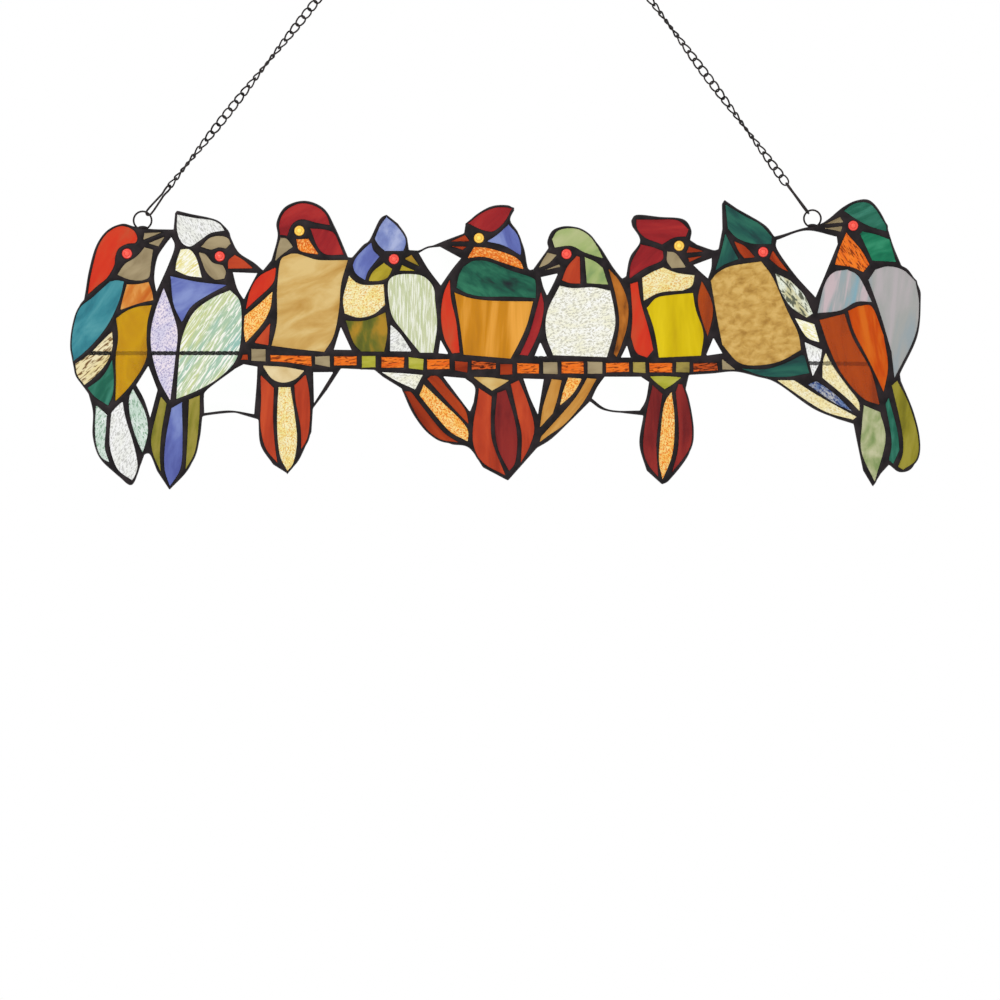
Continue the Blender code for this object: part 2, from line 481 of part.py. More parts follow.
def plate(name, loops, thickness, depth=0.0):
    """A flat filled outline, with every loop inside another cut out of it, extruded both ways."""
    curve = bpy.data.curves.new(name, "CURVE")
    curve.dimensions = "2D"
    curve.fill_mode = "BOTH"
    curve.extrude = thickness / 2
    curve.render_resolution_u = 0
    for loop in loops:
        spline = curve.splines.new("POLY")
        spline.points.add(len(loop) - 1)
        for corner, p in zip(spline.points, loop):
            x, _, z = at(p)
            corner.co = (x, z, 0, 1)
        spline.use_cyclic_u = True
    item = bpy.data.objects.new(name, curve)
    item.location.y = depth
    item.rotation_euler.x = math.pi / 2
    return item


def as_mesh(item):
    """The same shape as a mesh with its caps welded on, so that it can be cut or be a cutter."""
    bpy.context.scene.collection.objects.link(item)
    bpy.context.view_layer.update()
    name = item.name
    mesh = bpy.data.meshes.new_from_object(item.evaluated_get(bpy.context.evaluated_depsgraph_get()))
    place = item.matrix_world.copy()
    bpy.data.objects.remove(item)
    bm = bmesh.new()
    bm.from_mesh(mesh)
    bmesh.ops.remove_doubles(bm, verts=bm.verts, dist=WELD)
    bm.to_mesh(mesh)
    bm.free()
    solid = bpy.data.objects.new(name, mesh)
    solid.matrix_world = place
    return solid


def lead_body(outside, seats, fused, group, cutters):
    """The lead and solder: open through at each seat, with the fused panes let into its front."""
    lead = as_mesh(plate("lead_lines", [outside] + seats, LEAD_DEPTH))
    recess = LEAD_DEPTH - GLASS_THICKNESS
    cutter = as_mesh(plate("pane_recesses", fused, recess, -LEAD_DEPTH / 2))
    cutter.hide_render = True
    cutter.display_type = "WIRE"
    cutters.objects.link(cutter)
    cut = lead.modifiers.new("recesses", "BOOLEAN")
    cut.operation = "DIFFERENCE"
    cut.object = cutter
    finish(lead, (0.05, 0.05, 0.05), 0.45, group)


def eye(name, x, y):
    """A round glass drop, turned from its profile: a flat back, a straight rim and a low dome."""
    rim = EYE_DIAMETER / 2 - SEAT_GAP
    profile = ((0, -EYE_DOME), (rim * 0.62, -EYE_DOME * 0.88), (rim, -GLASS_THICKNESS / 2),
               (rim, GLASS_THICKNESS / 2), (0, GLASS_THICKNESS / 2))
    mesh = bpy.data.meshes.new(name)
    mesh.from_pydata([(r, depth, 0) for r, depth in profile],
                     [(i, i + 1) for i in range(len(profile) - 1)], [])
    item = bpy.data.objects.new(name, mesh)
    item.location = at((x, y))
    turned = item.modifiers.new("turned", "SCREW")
    turned.axis = "Y"
    turned.steps = turned.render_steps = EYE_SIDES
    turned.use_merge_vertices = True
    turned.merge_threshold = WELD
    turned.use_normal_calculate = True
    turned.use_normal_flip = True
    return item


def wire(name, path, diameter, closed):
    """A round wire along the path, closed on itself or with flat ends."""
    curve = bpy.data.curves.new(name, "CURVE")
    curve.dimensions = "3D"
    curve.bevel_depth = diameter / 2
    curve.bevel_resolution = 1
    curve.use_fill_caps = not closed
    curve.render_resolution_u = 0
    spline = curve.splines.new("POLY")
    spline.points.add(len(path) - 1)
    for point, p in zip(spline.points, path):
        point.co = (*p, 1)
    spline.use_cyclic_u = closed
    return bpy.data.objects.new(name, curve)


def ring_path(centre, radius, foot, steps=14):
    """The ring's visible arc. Its two feet stand just clear of the solder that holds them."""
    dip = math.asin((foot - centre[1]) / radius)
    angles = [-dip + (math.pi + 2 * dip) * i / steps for i in range(steps + 1)]
    return [at((centre[0] + radius * math.cos(a), centre[1] - radius * math.sin(a))) for a in angles]


def hook_path(base, along, across):
    """The long wire loop between a ring and its chain: wide at the ring, narrow, and wide again."""
    half = ((0.0, 0.0), (0.03, 0.0021), (0.10, 0.0029), (0.22, 0.0028), (0.45, 0.0017), (0.68, 0.0010),
            (0.80, 0.0017), (0.90, 0.0020), (0.97, 0.0013), (1.0, 0.0))
    one_side = [base + along * (share * HOOK_LENGTH) + across * width for share, width in half]
    other = [base + along * (share * HOOK_LENGTH) - across * width for share, width in half[-2:0:-1]]
    return one_side + other


def chain(name, start, end, across, turn_at_start):
    """A run of chain, each link wide at its middle and narrow where it passes through the next."""
    along = (end - start).normalized()
    count = round((end - start).length / LINK_PITCH)
    pitch = (end - start).length / count
    bm = bmesh.new()
    sections = []
    for i in range(2 * count + 1):
        width = LINK_WIDTH if i % 2 else LINK_WAIST
        side = Matrix.Rotation(turn_at_start + TWIST_PER_LINK * i / 2, 3, along) @ across
        over = along.cross(side)
        middle = start + along * (pitch * i / 2)
        sections.append([bm.verts.new(middle + side * (u * width / 2) + over * (v * LINK_DEPTH / 2))
                         for u, v in ((1, 0), (0, 1), (-1, 0), (0, -1))])
    for near, far in zip(sections, sections[1:]):
        for k in range(4):
            m = (k + 1) % 4
            bm.faces.new([near[k], near[m], far[m], far[k]])
    bm.faces.new(sections[0])
    bm.faces.new(sections[-1])
    bmesh.ops.recalc_face_normals(bm, faces=bm.faces)
    mesh = bpy.data.meshes.new(name)
    bm.to_mesh(mesh)
    bm.free()
    return bpy.data.objects.new(name, mesh)


def build_glass(group, cutters):
    """The lead with its panes and eyes."""
    drawn = {f"{part}_{name}": pane for part, panes in PANES.items() for name, pane in panes.items()}
    loops = {name: outline(text, FINE) for name, (_, text) in drawn.items()}
    largest = sorted(loops, key=lambda name: -area(loops[name]))[:OWN_PANES]
    for name in loops:
        if name not in largest:
            loops[name] = outline(drawn[name][1], COARSE)

    margin = squares(EDGE_LEAD)
    eye_radius = squares(EYE_DIAMETER / 2)
    grown = [offset(loop, margin) for loop in loops.values()]
    grown += [circle(x, y, eye_radius + margin) for _, x, y in EYES.values()]
    outside = outer_loop(grown + [outline(SILHOUETTE, FINE)], COARSE)
    seats = [loops[name] for name in largest]
    seats += [circle(x, y, eye_radius) for _, x, y in EYES.values()]
    fused = [loops[name] for name in loops if name not in largest]
    lead_body(outside, seats, fused, group, cutters)

    for name in largest:
        pane = plate(name, [offset(loops[name], -squares(SEAT_GAP))], GLASS_THICKNESS)
        finish(pane, GLASS[drawn[name][0]], 0.15, group, 0.6)
    for bird, (glass, x, y) in EYES.items():
        finish(eye(f"{bird}_eye", x, y), GLASS[glass], 0.1, group, 0.8)


def build_wires(group):
    """The brace across the back, and the rings, hooks and chain that the panel hangs by."""
    depth_axis = Vector((0, 1, 0))
    brace_depth = LEAD_DEPTH / 2 + SEAT_GAP + BRACE_DIAMETER / 2
    brace = wire("brace_wire", [at(p, brace_depth) for p in BRACE_PATH], BRACE_DIAMETER, False)
    finish(brace, METAL, 0.5, group)

    top = at(HANGING_POINT)
    turn = 2 * math.pi / TOP_LINK_SIDES
    oval = [top + Vector((TOP_LINK_LENGTH / 2 * math.cos(i * turn), 0,
                          TOP_LINK_WIDTH / 2 * math.sin(i * turn))) for i in range(TOP_LINK_SIDES)]
    finish(wire("chain_top_link", oval, LINK_WIRE_DIAMETER, True), METAL, 0.4, group)

    for side, ring in RINGS.items():
        radius = ring["radius"] * SQUARE
        centre = at(ring["centre"])
        path = ring_path(ring["centre"], ring["radius"], ring["foot"])
        finish(wire(f"ring_{side}", path, WIRE_DIAMETER, False), METAL, 0.4, group)

        along = (top - centre).normalized()
        flat = along.cross(depth_axis).normalized()
        across = flat * math.cos(ring["hook_turn"]) + depth_axis * math.sin(ring["hook_turn"])
        base = centre + along * (radius - (WIRE_DIAMETER + HOOK_WIRE_DIAMETER) / 2 - SEAT_GAP)
        path = hook_path(base, along, across)
        finish(wire(f"hook_{side}", path, HOOK_WIRE_DIAMETER, True), METAL, 0.4, group)

        start = base + along * (HOOK_LENGTH + HOOK_WIRE_DIAMETER / 2 + SEAT_GAP)
        end = top - along * (TOP_LINK_LENGTH / 2 + LINK_WIRE_DIAMETER / 2 + 2 * SEAT_GAP)
        finish(chain(f"chain_{side}", start, end, flat, CHAIN_TURN), METAL, 0.4, group)


def build():
    for item in list(bpy.data.objects):
        bpy.data.objects.remove(item)
    group = bpy.data.collections.new("stained_glass_panel")
    cutters = bpy.data.collections.new("cutters")
    bpy.context.scene.collection.children.link(group)
    bpy.context.scene.collection.children.link(cutters)
    build_glass(group, cutters)
    build_wires(group)


build()
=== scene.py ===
# %% [markdown]
# A stained glass panel: birds side by side on a perch of small tiles, hung by a chain.
#
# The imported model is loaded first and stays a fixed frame. Everything made here takes its place
# from the same origin, the hanging point, in metres, with +X along the perch, +Z up and the
# panel's front towards -Y.

# %% Load the frame and keep its box
import json
import math

import bmesh
import bpy
from mathutils import Matrix, Vector, kdtree, noise
from mathutils.geometry import delaunay_2d_cdt


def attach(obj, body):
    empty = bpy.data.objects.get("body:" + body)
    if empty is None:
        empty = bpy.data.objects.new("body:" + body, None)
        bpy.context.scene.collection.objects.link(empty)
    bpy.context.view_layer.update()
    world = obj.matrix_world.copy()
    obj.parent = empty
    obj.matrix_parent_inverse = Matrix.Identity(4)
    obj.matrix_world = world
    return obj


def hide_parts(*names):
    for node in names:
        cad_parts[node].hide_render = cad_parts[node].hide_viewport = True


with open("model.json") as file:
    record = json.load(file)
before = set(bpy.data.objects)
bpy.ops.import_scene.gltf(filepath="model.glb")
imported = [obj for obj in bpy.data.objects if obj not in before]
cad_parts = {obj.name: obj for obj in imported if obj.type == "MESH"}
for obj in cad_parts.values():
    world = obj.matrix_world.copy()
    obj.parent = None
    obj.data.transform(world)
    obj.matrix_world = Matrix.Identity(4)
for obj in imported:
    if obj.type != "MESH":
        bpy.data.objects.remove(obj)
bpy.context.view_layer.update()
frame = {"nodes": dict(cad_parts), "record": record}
print("CAD nodes:", len(frame["nodes"]))

# %% [markdown]
# ## The cartoon
#
# A glazier draws the panel full size first, and cuts each piece of glass to that cartoon. The
# same is done here. A pane has a kind of glass, the angle that its grain runs at, and an outline
# in squares of the cartoon. Its sides start at corners and pass smoothly through their points,
# and a slash starts the next side. The outlines could have been Bezier curves, but a smooth run
# through a few points is easier to read off a cartoon and to correct.

# %% The cartoon's scale
PANEL_LENGTH = 0.612
CARTOON_WIDTH = 850.5  # in squares
SQUARE = PANEL_LENGTH / CARTOON_WIDTH
HANGING_POINT = (489.5, -217.6)  # in squares, counted downwards
PANES = {}
print("one square of the cartoon:", round(SQUARE * 1000, 3), "mm")

# %% Birds 1 to 3
PANES["bird_1"] = {
    "cap": ("flame_red", 60, "88,295 89.5,283 92.5,268 98,247.5 106,234.5 117,227 126,226.5"
            " 134,230.5 137.5,237 136,243 127,244.3 119,249 115.7,257 114.5,266 107.5,278 98,286"),
    "beak_upper": ("tan", 0, "144.5,233 / 163.5,232.2 / 143,240.5"),
    "beak_lower": ("tan", 30, "148,243.5 / 165.5,236.3 / 158.7,246.8"),
    "cheek": ("tan", 40, "144.8,247.3 / 153.5,249.5 151.3,265 150,276"
              " 146,279.7 138,281 128,279.5 / 117.3,275 125,264 136,257"),
    "throat": ("apricot", 60, "127,284.3 138,284 / 149,281.9 152.5,292"
               " / 153.8,300.5 140,303.5 / 120,310.5 123,298"),
    "belly": ("amber", 90, "152.2,305 148,322 147,340 147.3,356 141,371 128,389"
              " / 115.2,402 115.9,380 115.6,358 118,337 / 116,318.5 126,311 138,306.5"),
    "wing": ("teal", 50, "74,361 71.7,345 74,325 80,308 93,297 / 110,281.5"
             " 117,280.2 / 124.5,281.5 120,300 110,322 97,340 83,354"),
    "grain_feather": ("grained_clear", 40, "112.5,330.5 113,347 107,363"
                      " 96,376 / 84.5,385.5 77,375 / 75,364 88,355 101,342"),
    "lower_wing": ("sea_green", 60, "112.5,359 114.2,376 113.3,394"
                   " / 108.5,406 95,397 / 87.5,388 100,379 107,370"),
    "tail_left": ("misty_green", 70, "96,404.5 / 107.3,414.5 106.3,430"
                  " 105.4,448 / 110,463 101,457 96,444 94.8,425"),
    "tail_mid": ("silver_clear", 70, "123,400.8 126,418 134,444 138,464 136,474"
                 " / 132.5,480.8 118,470 111,453 109.3,438 / 111,413 116,407"),
    "tail_right": ("misty_green", 110, "133,388 145,411 148.4,428"
                   " 147,440 / 142.8,453.5 136,438 130.5,419 128.8,400"),
}
PANES["bird_2"] = {
    "crown": ("silver_clear", 120, "177,214.3 195,217.8 211,219.8 220,224"
              " / 225,230.8 211,233.5 200,241 190,247 181,242 176.8,230"),
    "brow": ("tan", 0, "201,247 209,238.5 219,235.8 228,238 / 231,244 / 226,249 219,247.8 211,250"),
    "beak": ("brick_red", 0, "235,254.8 244,260.3 / 254,268.7 / 228,269 228.5,260.5"),
    "cheek": ("tan", 120, "198.3,252 206,254.5 213,262.5 / 223,265"
              " 226.3,272 / 224.5,279 215,279.8 206.5,272.5 202,262"),
    "neck": ("straw_clear", 40, "180.5,249.2 190,249.5 197,259"
             " / 202.3,278 188,276 / 175.2,270.5 176.5,261"),
    "chest": ("blue", 20, "170.5,276 195,281.3 212,283.5"
              " / 228,285 209,295 192,306.5 / 182,323 173.5,304"),
    "right_wing": ("meadow_clear", 55, "176,399.5 178,370 181.5,339 193,313 212,298"
                   " / 230,290 239.5,300 242,317 240.5,345 234.5,363 218,379 197,391"),
    "left_wing": ("lavender", 50, "163.8,287 172.5,311 178,333 175.5,360"
                  " 172.8,384 / 170.5,401.5 159,380 152,355 150.5,333 155,311"),
    "tail_left": ("olive", 80, "161,396 / 167,403.5 162,432"
                  " 160.3,455 / 161.3,473 153,454 151.3,437 156,416"),
    "tail_mid": ("blue", 80, "182.3,402 183,440 181,468 / 170,487 164.5,468 165.5,441 / 171.5,408"),
    "tail_right": ("olive", 80, "189,399.5 / 200.3,395 199.5,420"
                   " 195.5,451 / 185.5,470.5 187.3,440"),
}
PANES["bird_3"] = {
    "cap": ("cherry", 30, "280,235 279.2,224 284,212.5 295,205 306,203.4 319,208"
            " 327,216 / 330.3,225.7 316,223 302,219.7 292.5,224.5 / 287.5,236.2"),
    "face": ("cherry", 60, "310.3,228.5 323,229.3 334,233 339.5,244 / 344,255 326,254.8 317,246"),
    "throat": ("orange_granite", 60, "296.3,239.3 / 308.7,238.8"
               " 312.5,245 / 319.3,255 306,253 298.5,249.5"),
    "nape": ("tan", 0, "280.5,237.6 287,238.8 / 293.3,247 283,254.5 / 274.8,262 277,250"),
    "body": ("honey", 20, "271.5,346 276.8,322 277,290 280,262 287,255.3 296,253.5 308,257"
             " 320,260 / 348.2,260 341.5,284 339.3,310 334,336 / 324.5,352.2 298,349.5"),
    "wing_red": ("flame_red", 60, "276.3,267 275,279 270,287.5"
                 " 257,299.5 / 245.5,310.3 250,291 259,276.5"),
    "wing_orange": ("gold_granite", 60, "273,291 270.5,309 262,325"
                    " / 245.5,343.5 243.8,330 / 244.5,316 259,304"),
    "wing_lower": ("brick_red", 60, "270.7,322.5 / 268.7,345.7 / 253.8,343 263,331.5"),
    "under": ("pale_honey", 0, "262.3,365.5 284,366.8"
              " / 305.3,370.5 295.5,379.5 283,382.9 271.5,378.5"),
    "tail_left": ("brick_red", 85, "260.5,374.5 / 274.3,388 273.5,420"
                  " 275.5,447 / 278,463.8 265.5,448 260.3,425 261,400"),
    "tail_mid": ("pale_granite", 85, "278.5,387 / 290.7,387 295,414 297.4,440"
                 " 294,462 / 287.5,471.5 280,456 277.2,432 277.2,408"),
    "tail_right": ("brick_red", 85, "306,374 309.5,392 310.4,415 308,437"
                   " / 301,450.5 300.5,428 295.5,401 / 294.3,385.3"),
}
print("panes so far:", sum(map(len, PANES.values())))

# %% Birds 4 to 6
PANES["bird_4"] = {
    "crest": ("smoke_blue", 60, "386.5,217 396,225 404.5,236 406,244"
              " / 403.3,251.3 / 385,251.3 379,246 / 374.5,239 380,226"),
    "head": ("blue", 60, "371.5,242 373.5,250 / 379.8,256.7"
             " 369,270.5 / 365.3,280.7 356,274 353,264.5 358.5,254.5"),
    "cheek": ("mustard", 45, "384,262.8 / 392.6,269 388,277.5 380,281 / 368,281.6 373,271.5"),
    "beak_upper": ("moss", 0, "404,259 / 411.5,254.8 / 420.5,267.3"),
    "beak_lower": ("mustard", 0, "402,265 / 416,271.2 / 399.5,271"),
    "chest": ("pale_granite", 20, "349,275.5 357,282.7 367,285 / 384,284.2"
              " / 385.2,305 374,314.5 359,318 / 344.5,313.8 343,298"),
    "belly": ("moss", 90, "345.5,320.5 362,320.9 374,317.5"
              " / 385.7,312 387.7,332 / 384.5,352 / 361,351.8 353,342"),
    "wing": ("reed_clear", 90, "420,353 404,333 392,316 388,295 388.5,281 396,275"
             " 411,273.8 424,276.5 433.5,287 435.5,302 437.3,326 / 433.5,353"),
    "small_triangle": ("silver_clear", 30, "390.3,324 401,334.5 / 412.3,351.8 / 389.8,351.5"),
    "under": ("frosted_clear", 10, "380.5,371.8 402,373 / 423.2,374.8 / 415.3,389.8 397,381.5"),
    "tail_left": ("rust_red", 130, "404.5,391.5 411,392 419,402"
                  " 437,425 447,435 / 460,443 438,438.5 420,421"),
    "tail_mid": ("gold_granite", 130, "423.7,384.3 444,403.5 461,420"
                 " 468.3,431 / 467.8,441.8 449,431 430,409 / 419.2,395.3"),
    "tail_right": ("rust_red", 130, "430.5,376 438,376.5 449,389.5"
                   " 465,409 / 469,425 452,407 434,387 / 427,379"),
}
PANES["bird_5"] = {
    "crest": ("cherry", 45, "468,223.5 481,213.5 494,208 505,207.3"
              " / 512,208.7 505.5,221 497,229.5 490.5,232 480,229.5"),
    "head": ("blue", 120, "508.5,224.5 517.5,235 521,247"
             " / 521,256 504,246 / 486.3,241.7 497,234.8"),
    "beak_upper": ("rust_red", 0, "450,241.8 / 465,235 / 470.3,241.6"),
    "beak_lower": ("rust_red", 0, "452,246.5 / 467.5,246.5 / 462.5,250.3"),
    "collar": ("orange_granite", 160, "467,258.7 / 474,246.8 490,248.5"
               " 511,255 520,261 / 524.3,270 504,263.5 484,257.3"),
    "chest": ("forest", 150, "456.2,288 458.5,276 / 463,267 474,260.7 490,261.8"
              " 511,270.5 532,277.5 536,284 / 536,298.5 510,297 484,297 468,294"),
    "belly": ("toffee", 88, "454.3,292.5 472,298.3 495,300.7 / 533.4,301.3"
              " 527.5,324 520,341.5 / 510.7,359 / 463.5,355 459.8,326"),
    "left_wing": ("flame_red", 90, "450,279 451.5,300 456.5,322"
                  " / 459.9,353 / 452,353.7 444,338 440.8,316 443.5,294"),
    "right_wing": ("cherry", 70, "541,291 544,306 541,326 535.5,341"
                   " / 528,356 / 519.5,355 529,334 536,310"),
    "under": ("honey", 0, "472.5,376.8 492,377.5 / 510,380.3 501,386 / 492,391 482,384"),
    "tail_left": ("brick_red", 90, "478.8,388 / 492,396.5 491,420"
                  " 493,443 / 506,476 483,463 473.5,446 473,425 477,402"),
    "tail_mid": ("wine_red", 90, "497,393 / 506,389.5 514.5,418"
                 " 517.5,440 515.5,462 / 509,471.5 498,449 494.5,425"),
    "tail_right": ("brick_red", 90, "510.5,384 / 519,380 528,402"
                   " 534.5,427 530,446 / 520.5,464 521.5,436 517,414"),
}
PANES["bird_6"] = {
    "cap": ("leaf", 20, "551.8,239.5 557,231.3 567,228.3 579,229.5"
            " 590,236.5 598,248 / 603.5,259 585,253 571,246.3 / 554.5,248"),
    "beak_upper": ("tan", 45, "538.5,268.5 542,261 / 547.5,252.5 / 557,255 549,263.5"),
    "beak_lower": ("tan", 0, "542,271 / 559,264.3 / 561.5,267"),
    "face": ("brick_red", 70, "576.5,256 / 580,256.8 / 580.5,284 570,283.5 / 561.5,280.5 567,267"),
    "neck": ("leaf", 60, "584.5,257 595,261.5 / 603,268 606,278 / 608.4,285 / 586.5,283.5"),
    "belly": ("frosted_clear", 10, "559.5,285.5 574,288 593,287 / 610.5,290.5"
              " 614.5,310 615,328 / 607,357.5 / 553,355.5 546,335 547,312"),
    "right_wing": ("tortoise", 80, "608,268 620,282 628,303 627.5,325"
                   " 621,347 / 616.5,357.5 / 613.5,354 618.8,325 616,299"),
    "tail_left": ("caramel", 75, "551.5,379 / 562,380 557.5,399 / 553,413.5 / 539.5,428.5 543,406"),
    "tail_mid": ("gold_granite", 60, "568,377.5 / 582.5,378.5 573,394 / 559.5,406.3 563,391"),
    "tail_right": ("caramel", 50, "587,378 / 596.8,378.8 583,403 565,424"
                   " 549,435.5 / 539,443 / 541,436.5 564,411 577,395"),
}
print("panes so far:", sum(map(len, PANES.values())))

# %% Birds 7 to 9
PANES["bird_7"] = {
    "crest": ("cherry", 0, "636,219.5 655,219.6 677,220.2 / 688.8,229.5"
              " / 686,236.8 674,238 / 662,244.8 645,238 637,229"),
    "nape": ("cherry", 45, "641,244.5 652,247 / 663,251 662,260.5 645,268.5 / 629,279.3 631,263"),
    "cheek": ("tan", 60, "667,251.5 676,253.5 / 686.5,267.8 / 671.5,268.5 666.5,261"),
    "beak_upper": ("rust_red", 0, "689,246.5 / 704.5,251.7 / 685.5,253.3"),
    "beak_lower": ("rust_red", 0, "688,258 / 704,255.7 / 689,262.5"),
    "chest": ("pale_granite", 20, "641.8,278 652,272 / 663,267.3 677,272.8"
              " / 694.8,275.3 692,286 / 683,290.8 660,293 / 643.5,301.2"),
    "belly": ("yellow", 90, "646.5,308 656,298 670,295 / 693,292.8"
              " 696,310 703.5,333 / 701,356 / 658.6,358 654,331"),
    "left_wing": ("flame_red", 90, "630,284 / 637.7,281.5 641,302 649,330"
                  " / 653.5,350 / 647,358 636,352.5 / 630.5,337 632,316"),
    "right_wing": ("rust", 90, "701.5,280 711,299 713,315 / 707.6,337.5 701,318 697.5,300"),
    "under": ("lime", 0, "649,376.2 665,376 / 682,377.2 672,385 / 664.5,389.5 656,383"),
    "tail_left": ("wine_red", 90, "652.5,385 / 662.5,394 659,420"
                  " 656.5,445 / 658.5,478 647,463 642.8,445 646.5,412"),
    "tail_mid": ("gold_granite", 85, "671.6,391 674.7,420 672.5,454"
                 " / 662.4,480.6 658.6,460 660.5,430 664,404"),
    "tail_right": ("wine_red", 90, "678,384 / 682.2,384.3 688,402 692.2,430"
                   " 688.8,450 / 671.3,473.5 677.5,450 678.3,425 / 675.5,392"),
}
PANES["bird_8"] = {
    "crest": ("forest_plain", 140, "724.8,204 / 742,214.5 760,224.5"
              " / 772,237 / 771.3,244.5 752,244 737,238.5 / 727.5,229"),
    "cheek": ("rust_red", 120, "733.5,241 745,246.5 / 755.5,257.8 / 744,258.5 738,251"),
    "neck": ("forest_plain", 80, "725,233 731,245 / 738.5,259.3 / 724,265 / 714.5,271.5 720,254"),
    "beak": ("rust_red", 120, "772.5,250 779,259.5 / 789,272.5 779,267.5 / 769,259"),
    "body": ("hammered_honey", 10, "710.5,281 717,273 731,266 / 761,261.3 773,278"
             " 787,310 798,333 / 801,350 780,361.5 757,365.7 738,362.5 / 722,345 717,320"),
    "wing_upper": ("smoky_clear", 125, "774.5,272.5 / 790,280 804,294.5"
                   " / 813,313.5 / 806.5,318 791,307.5 780,291"),
    "wing_middle": ("straw_clear", 150, "794,317.5 / 814.5,324 / 820,343 806,337"),
    "wing_lower": ("silver_clear", 100, "804,341.5 / 822.4,349.7 820,362 / 812.5,377.3 808.5,362"),
    "feather": ("pale_yellow", 120, "825.5,352 833,366 847,385.5"
                " 858.5,401 / 859.8,412 846,398 / 822,378 822.5,362"),
    "tail_upper": ("blue_clear", 140, "807,384.5 / 816.5,381 835,394 / 853.5,412.5 833,402.5"),
    "tail_lower": ("pale_yellow", 150, "776,380 / 794,380 820,396.5"
                   " / 857,416.8 / 853,420 829,413.5 811,404"),
    "tail_base": ("forest_plain", 0, "740,368.5 765,369 785,363 / 801,355"
                  " / 804.5,355.5 / 809.5,373.5 785,377.3 762,376"),
}
PANES["bird_9"] = {
    "cap": ("sea_green", 20, "843.5,211 853,204 865,202.3"
            " 874,207.5 / 886.3,226 / 886.5,232 869,226.5 855,219"),
    "nape": ("green", 20, "859.5,234 / 862,231.3 876,234.5 / 889.5,239.5 / 896,262.3 / 872,261"),
    "beak_upper": ("tan", 30, "824,224.5 / 840,216.8 / 843.5,222.7"),
    "beak_lower": ("tan", 0, "824,228.5 / 843,226 / 840.5,232"),
    "throat": ("orange_grain", 125, "846,232.5 861,250 / 869.5,264.5"
               " / 863,272.5 851,267.5 / 834.5,265 839,249"),
    "chest": ("opal", 80, "847,269.5 859,277 / 872,302.3"
              " 856,302.3 840,310.8 / 817,313.5 824,285 833,272.5"),
    "wing": ("opal_grey", 85, "868,280 / 875,269.5 888,266.3 903,270"
             " / 915.5,281.5 919,306 914.5,337 / 894,379 / 891,352 879.5,313"),
    "body_left": ("rust", 100, "819,320 / 844.5,313.5 853,338"
                  " 871,371 / 880,405.5 862,398 842,375 829,349"),
    "body_right": ("orange", 100, "847.5,311 / 858,306 872,307"
                   " / 883.5,335 888,366 / 883.5,393 870,364 854,333"),
    "tail_left": ("jade_swirl", 80, "863.5,405 / 880,412"
                  " 885.5,440 / 874.5,482.5 861,452 861.5,425"),
    "tail_mid": ("sea_green", 90, "888.5,397 897,429 / 899.5,450"
                 " / 893,464.5 / 888.5,460 891,440 / 885,404"),
    "tail_right": ("lime_olive", 80, "891.3,385.6 / 897,380.3 909,404.5"
                   " 918,437 916.5,459 / 903,470 / 897.5,467 902.5,452 901,428"),
}
print("panes so far:", sum(map(len, PANES.values())))

# %% The perch's tiles
TILE_GRAIN = 5  # degrees
TILES = (  # from left to right
    ("rust_red", "241,360 / 243,354.5 / 248,354.5 / 248.3,360"),
    ("tan", "251.3,348.8 / 266,349 / 266,361.8 / 251.3,361"),
    ("orange_grain", "270.5,355 / 311.5,356 / 312,366.5 290,363 / 270.5,361.5"),
    ("tan", "315,356.5 / 330,355.7 / 330.3,367.5 / 315,364.5"),
    ("orange_grain", "334,356.5 / 357,356 / 357,365.5 / 334,365.8"),
    ("lime", "361.8,356 / 375.8,355.8 / 375.8,367.5 / 361.8,368"),
    ("orange_grain", "381.3,357 / 404.7,357 / 404,368 / 381.3,368"),
    ("lime", "408.5,357 / 424,359 / 423.3,370.3 / 408.5,368.5"),
    ("orange_grain", "427,359.5 / 449.6,359 / 449.8,369.3 / 427,369.8"),
    ("rust_red", "454.8,361 / 468,362 / 467.5,373 / 454.8,370.5"),
    ("rust_grain", "471.5,360.5 / 496,363 / 496,369 / 471.5,370"),
    ("rust_red", "500,364 / 512.5,364 / 512.5,374.8 / 500,375"),
    ("orange_grain", "517,363 / 539.3,363.8 / 539,373.8 / 517,373.5"),
    ("tan", "543,362 / 557.5,362 / 558,374.5 / 543,374"),
    ("orange_grain", "561.3,361.8 / 583.6,361.5 / 584,374 / 561.3,373.5"),
    ("tan", "587.3,361.5 / 602.5,361.8 / 602.5,374 / 587.3,374"),
    ("orange_grain", "605.8,363 / 629,362.5 / 629.3,372 / 605.8,372.8"),
    ("mustard_tan", "632.8,362 / 645.3,362 / 645.8,373.5 / 632.8,372.5"),
    ("orange_grain", "649,363 / 672.3,362.8 / 672.3,372.8 / 649.2,372.5"),
    ("mustard_tan", "676,362 / 689.6,362 / 689.6,372.8 / 675.7,372.5"),
    ("rust_grain", "693,363 / 717,362.8 / 718,370.5 / 693.3,372"),
    ("tan", "721.5,358.5 / 736,370 / 722,369.8"),
)
PANES["perch"] = {
    f"tile_{i:02}": (kind, TILE_GRAIN, text) for i, (kind, text) in enumerate(TILES, 1)
}
print("panes so far:", sum(map(len, PANES.values())))

